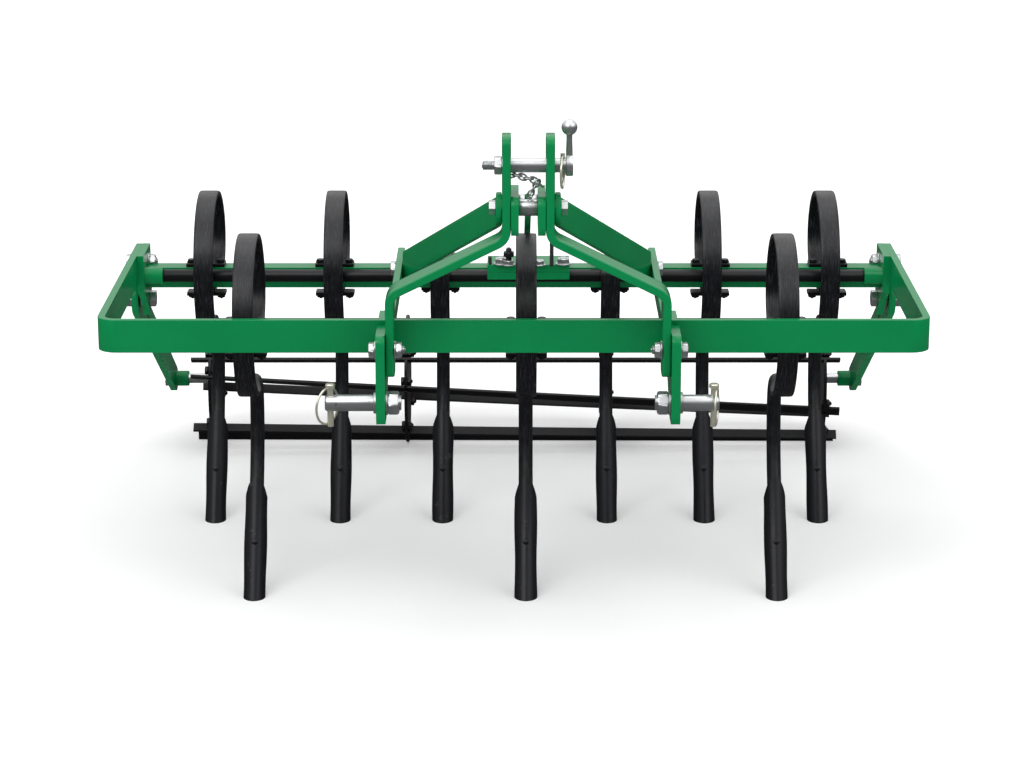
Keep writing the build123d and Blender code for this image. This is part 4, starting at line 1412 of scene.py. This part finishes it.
@dataclass
class Studio:
    """Pale floor, soft lights, white surround and the camera.

    Lamps are (name, place, side length, power), in metres and watts. The camera
    sees a painted glow on the floor that rises between two distances from its
    middle, which leaves a painted shade on the floor round the machine, and gloss
    sees the floor darker. The surround's light in gloss rises between two values
    of the dot product of the gaze and gloss_way. Glow and gloss give these two
    ends, then the light at each.
    """

    lens: float = 105.0
    pitch: float = 15.6
    place: Vector = (-2.3, -4288.5, 1408.0)
    lamps: tuple[tuple[str, Vector, float, float], ...] = (
        ("key light", (-1.6, -2.6, 3.2), 2.6, 62.0),
        ("fill light", (2.2, -1.6, 2.6), 2.4, 26.0),
        ("top light", (0.0, 0.6, 3.4), 3.0, 34.0),
    )
    aim: Vector = (0.0, 0.0, 0.3)
    floor_half: float = 30.0
    floor_colour: tuple[float, ...] = (0.84, 0.84, 0.845, 1.0)
    floor_in_gloss: tuple[float, ...] = (0.1, 0.1, 0.102, 1.0)
    # Painted glow of the floor for the camera: distances from the middle in metres, then its
    # strength at each.
    glow: tuple[float, ...] = (0.3, 1.5, 0.12, 0.6)
    glow_squash: Vector = (1.0, 1.25, 1.0)
    gloss: tuple[float, ...] = (0.12, 0.55, 0.12, 1.15)
    gloss_way: Vector = (0.0, 0.2, 1.0)
    diffuse: float = 0.55

    def build(self) -> None:
        """Build floor, surround, lamps and camera."""
        self._floor()
        self._surround()
        for name, place, size, power in self.lamps:
            self._lamp(name, place, size, power)
        camera = bpy.data.cameras.new("camera")
        camera.lens = self.lens
        camera.sensor_width = 36.0
        camera.clip_end = 60.0
        thing = bpy.data.objects.new("camera", camera)
        thing.location = [value * MM for value in self.place]
        thing.rotation_euler = (math.radians(90 - self.pitch), 0.0, 0.0)
        scene = bpy.context.scene
        scene.collection.objects.link(thing)
        scene.camera = thing
        scene.view_settings.view_transform = "Standard"

    def _floor(self) -> None:
        """Build the floor, lit to the camera by a painted glow that is weak near the middle and
        full far out, so it leaves a painted shade round the machine.
        """
        mesh = bpy.data.meshes.new("floor")
        signs = ((-1, -1), (1, -1), (1, 1), (-1, 1))
        corners = [(x * self.floor_half, y * self.floor_half, 0) for x, y in signs]
        mesh.from_pydata(corners, [], [(0, 1, 2, 3)])
        floor = bpy.data.objects.new("floor", mesh)
        bpy.context.scene.collection.objects.link(floor)
        material = bpy.data.materials.new("pale floor")
        material.use_nodes = True
        graph = Graph(material.node_tree)
        path = graph.add("ShaderNodeLightPath").outputs
        spot = graph.add("ShaderNodeTexCoord").outputs["Object"]
        squash = graph.add("ShaderNodeMapping", {"Vector": spot, "Scale": self.glow_squash})
        away = graph.add("ShaderNodeVectorMath", {0: squash.outputs["Vector"]})
        away.operation = "LENGTH"
        # Painted glow that only the camera sees: weak near the middle, which paints shade on the
        # floor round the machine, and full far out, where the floor fades to white.
        glow = graph.span(away.outputs["Value"], self.glow, "SMOOTHSTEP")
        seen = graph.add("ShaderNodeMath", {0: glow, 1: path["Is Camera Ray"]})
        seen.operation = "MULTIPLY"
        shade = graph.blend(path["Is Glossy Ray"], self.floor_colour, self.floor_in_gloss)
        surface = {
            "Base Color": shade,
            "Roughness": 0.9,
            "Specular IOR Level": 0.0,
            "Emission Color": (1.0, 1.0, 1.0, 1.0),
            "Emission Strength": seen.outputs[0],
        }
        graph.feed(graph.tree.nodes["Principled BSDF"], surface)
        mesh.materials.append(material)

    def _surround(self) -> None:
        """Build a surround that is white to the camera and softer as light."""
        world = bpy.data.worlds.new("surround")
        world.use_nodes = True
        bpy.context.scene.world = world
        graph = Graph(world.node_tree)
        path = graph.add("ShaderNodeLightPath").outputs
        gaze = graph.add("ShaderNodeTexCoord").outputs["Generated"]
        height = graph.add("ShaderNodeVectorMath", {0: gaze, 1: self.gloss_way})
        height.operation = "DOT_PRODUCT"
        sheen = graph.span(height.outputs["Value"], self.gloss)
        inputs = {"Factor": path["Is Glossy Ray"], "A": self.diffuse, "B": sheen}
        light = graph.add("ShaderNodeMix", inputs).outputs["Result"]
        inputs = {"Factor": path["Is Camera Ray"], "A": light, "B": 1.0}
        level = graph.add("ShaderNodeMix", inputs).outputs["Result"]
        white = {"Strength": level, "Color": (1.0, 1.0, 1.0, 1.0)}
        graph.feed(graph.tree.nodes["Background"], white)

    def _lamp(self, name: str, place: Vector, size: float, power: float) -> None:
        """Add a square soft lamp that looks at the middle of the machine.

        Args:
            name: Lamp name.
            place: Place in metres.
            size: Side length in metres.
            power: Power in watts.
        """
        lamp = bpy.data.lights.new(name, "AREA")
        lamp.shape = "SQUARE"
        lamp.size = size
        lamp.energy = power
        thing = bpy.data.objects.new(name, lamp)
        thing.location = place
        way = np.array(self.aim) - np.array(place)
        yaw = math.atan2(way[1], way[0]) - math.pi / 2
        tilt = math.atan2(math.hypot(way[0], way[1]), -way[2])
        thing.rotation_euler = (tilt, 0.0, yaw)
        bpy.context.scene.collection.objects.link(thing)


def main() -> None:
    """Build the machine's sub-assemblies in order, then the studio."""
    logging.basicConfig(level=logging.INFO, format="%(name)s %(message)s")
    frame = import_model()
    PaintedSolids().build(frame)
    tines = TineSet()
    cage = Cage()
    ShareBlades().build(tines.tines())
    tines.build()
    BentBars().build()
    cage.build_bars()
    for fittings in (FrameBolts(), LowerPins(), ClipChain(), TopPin()):
        fittings.build()
    cage.build_bolts()
    Studio().build()


if __name__ == "__main__":
    main()
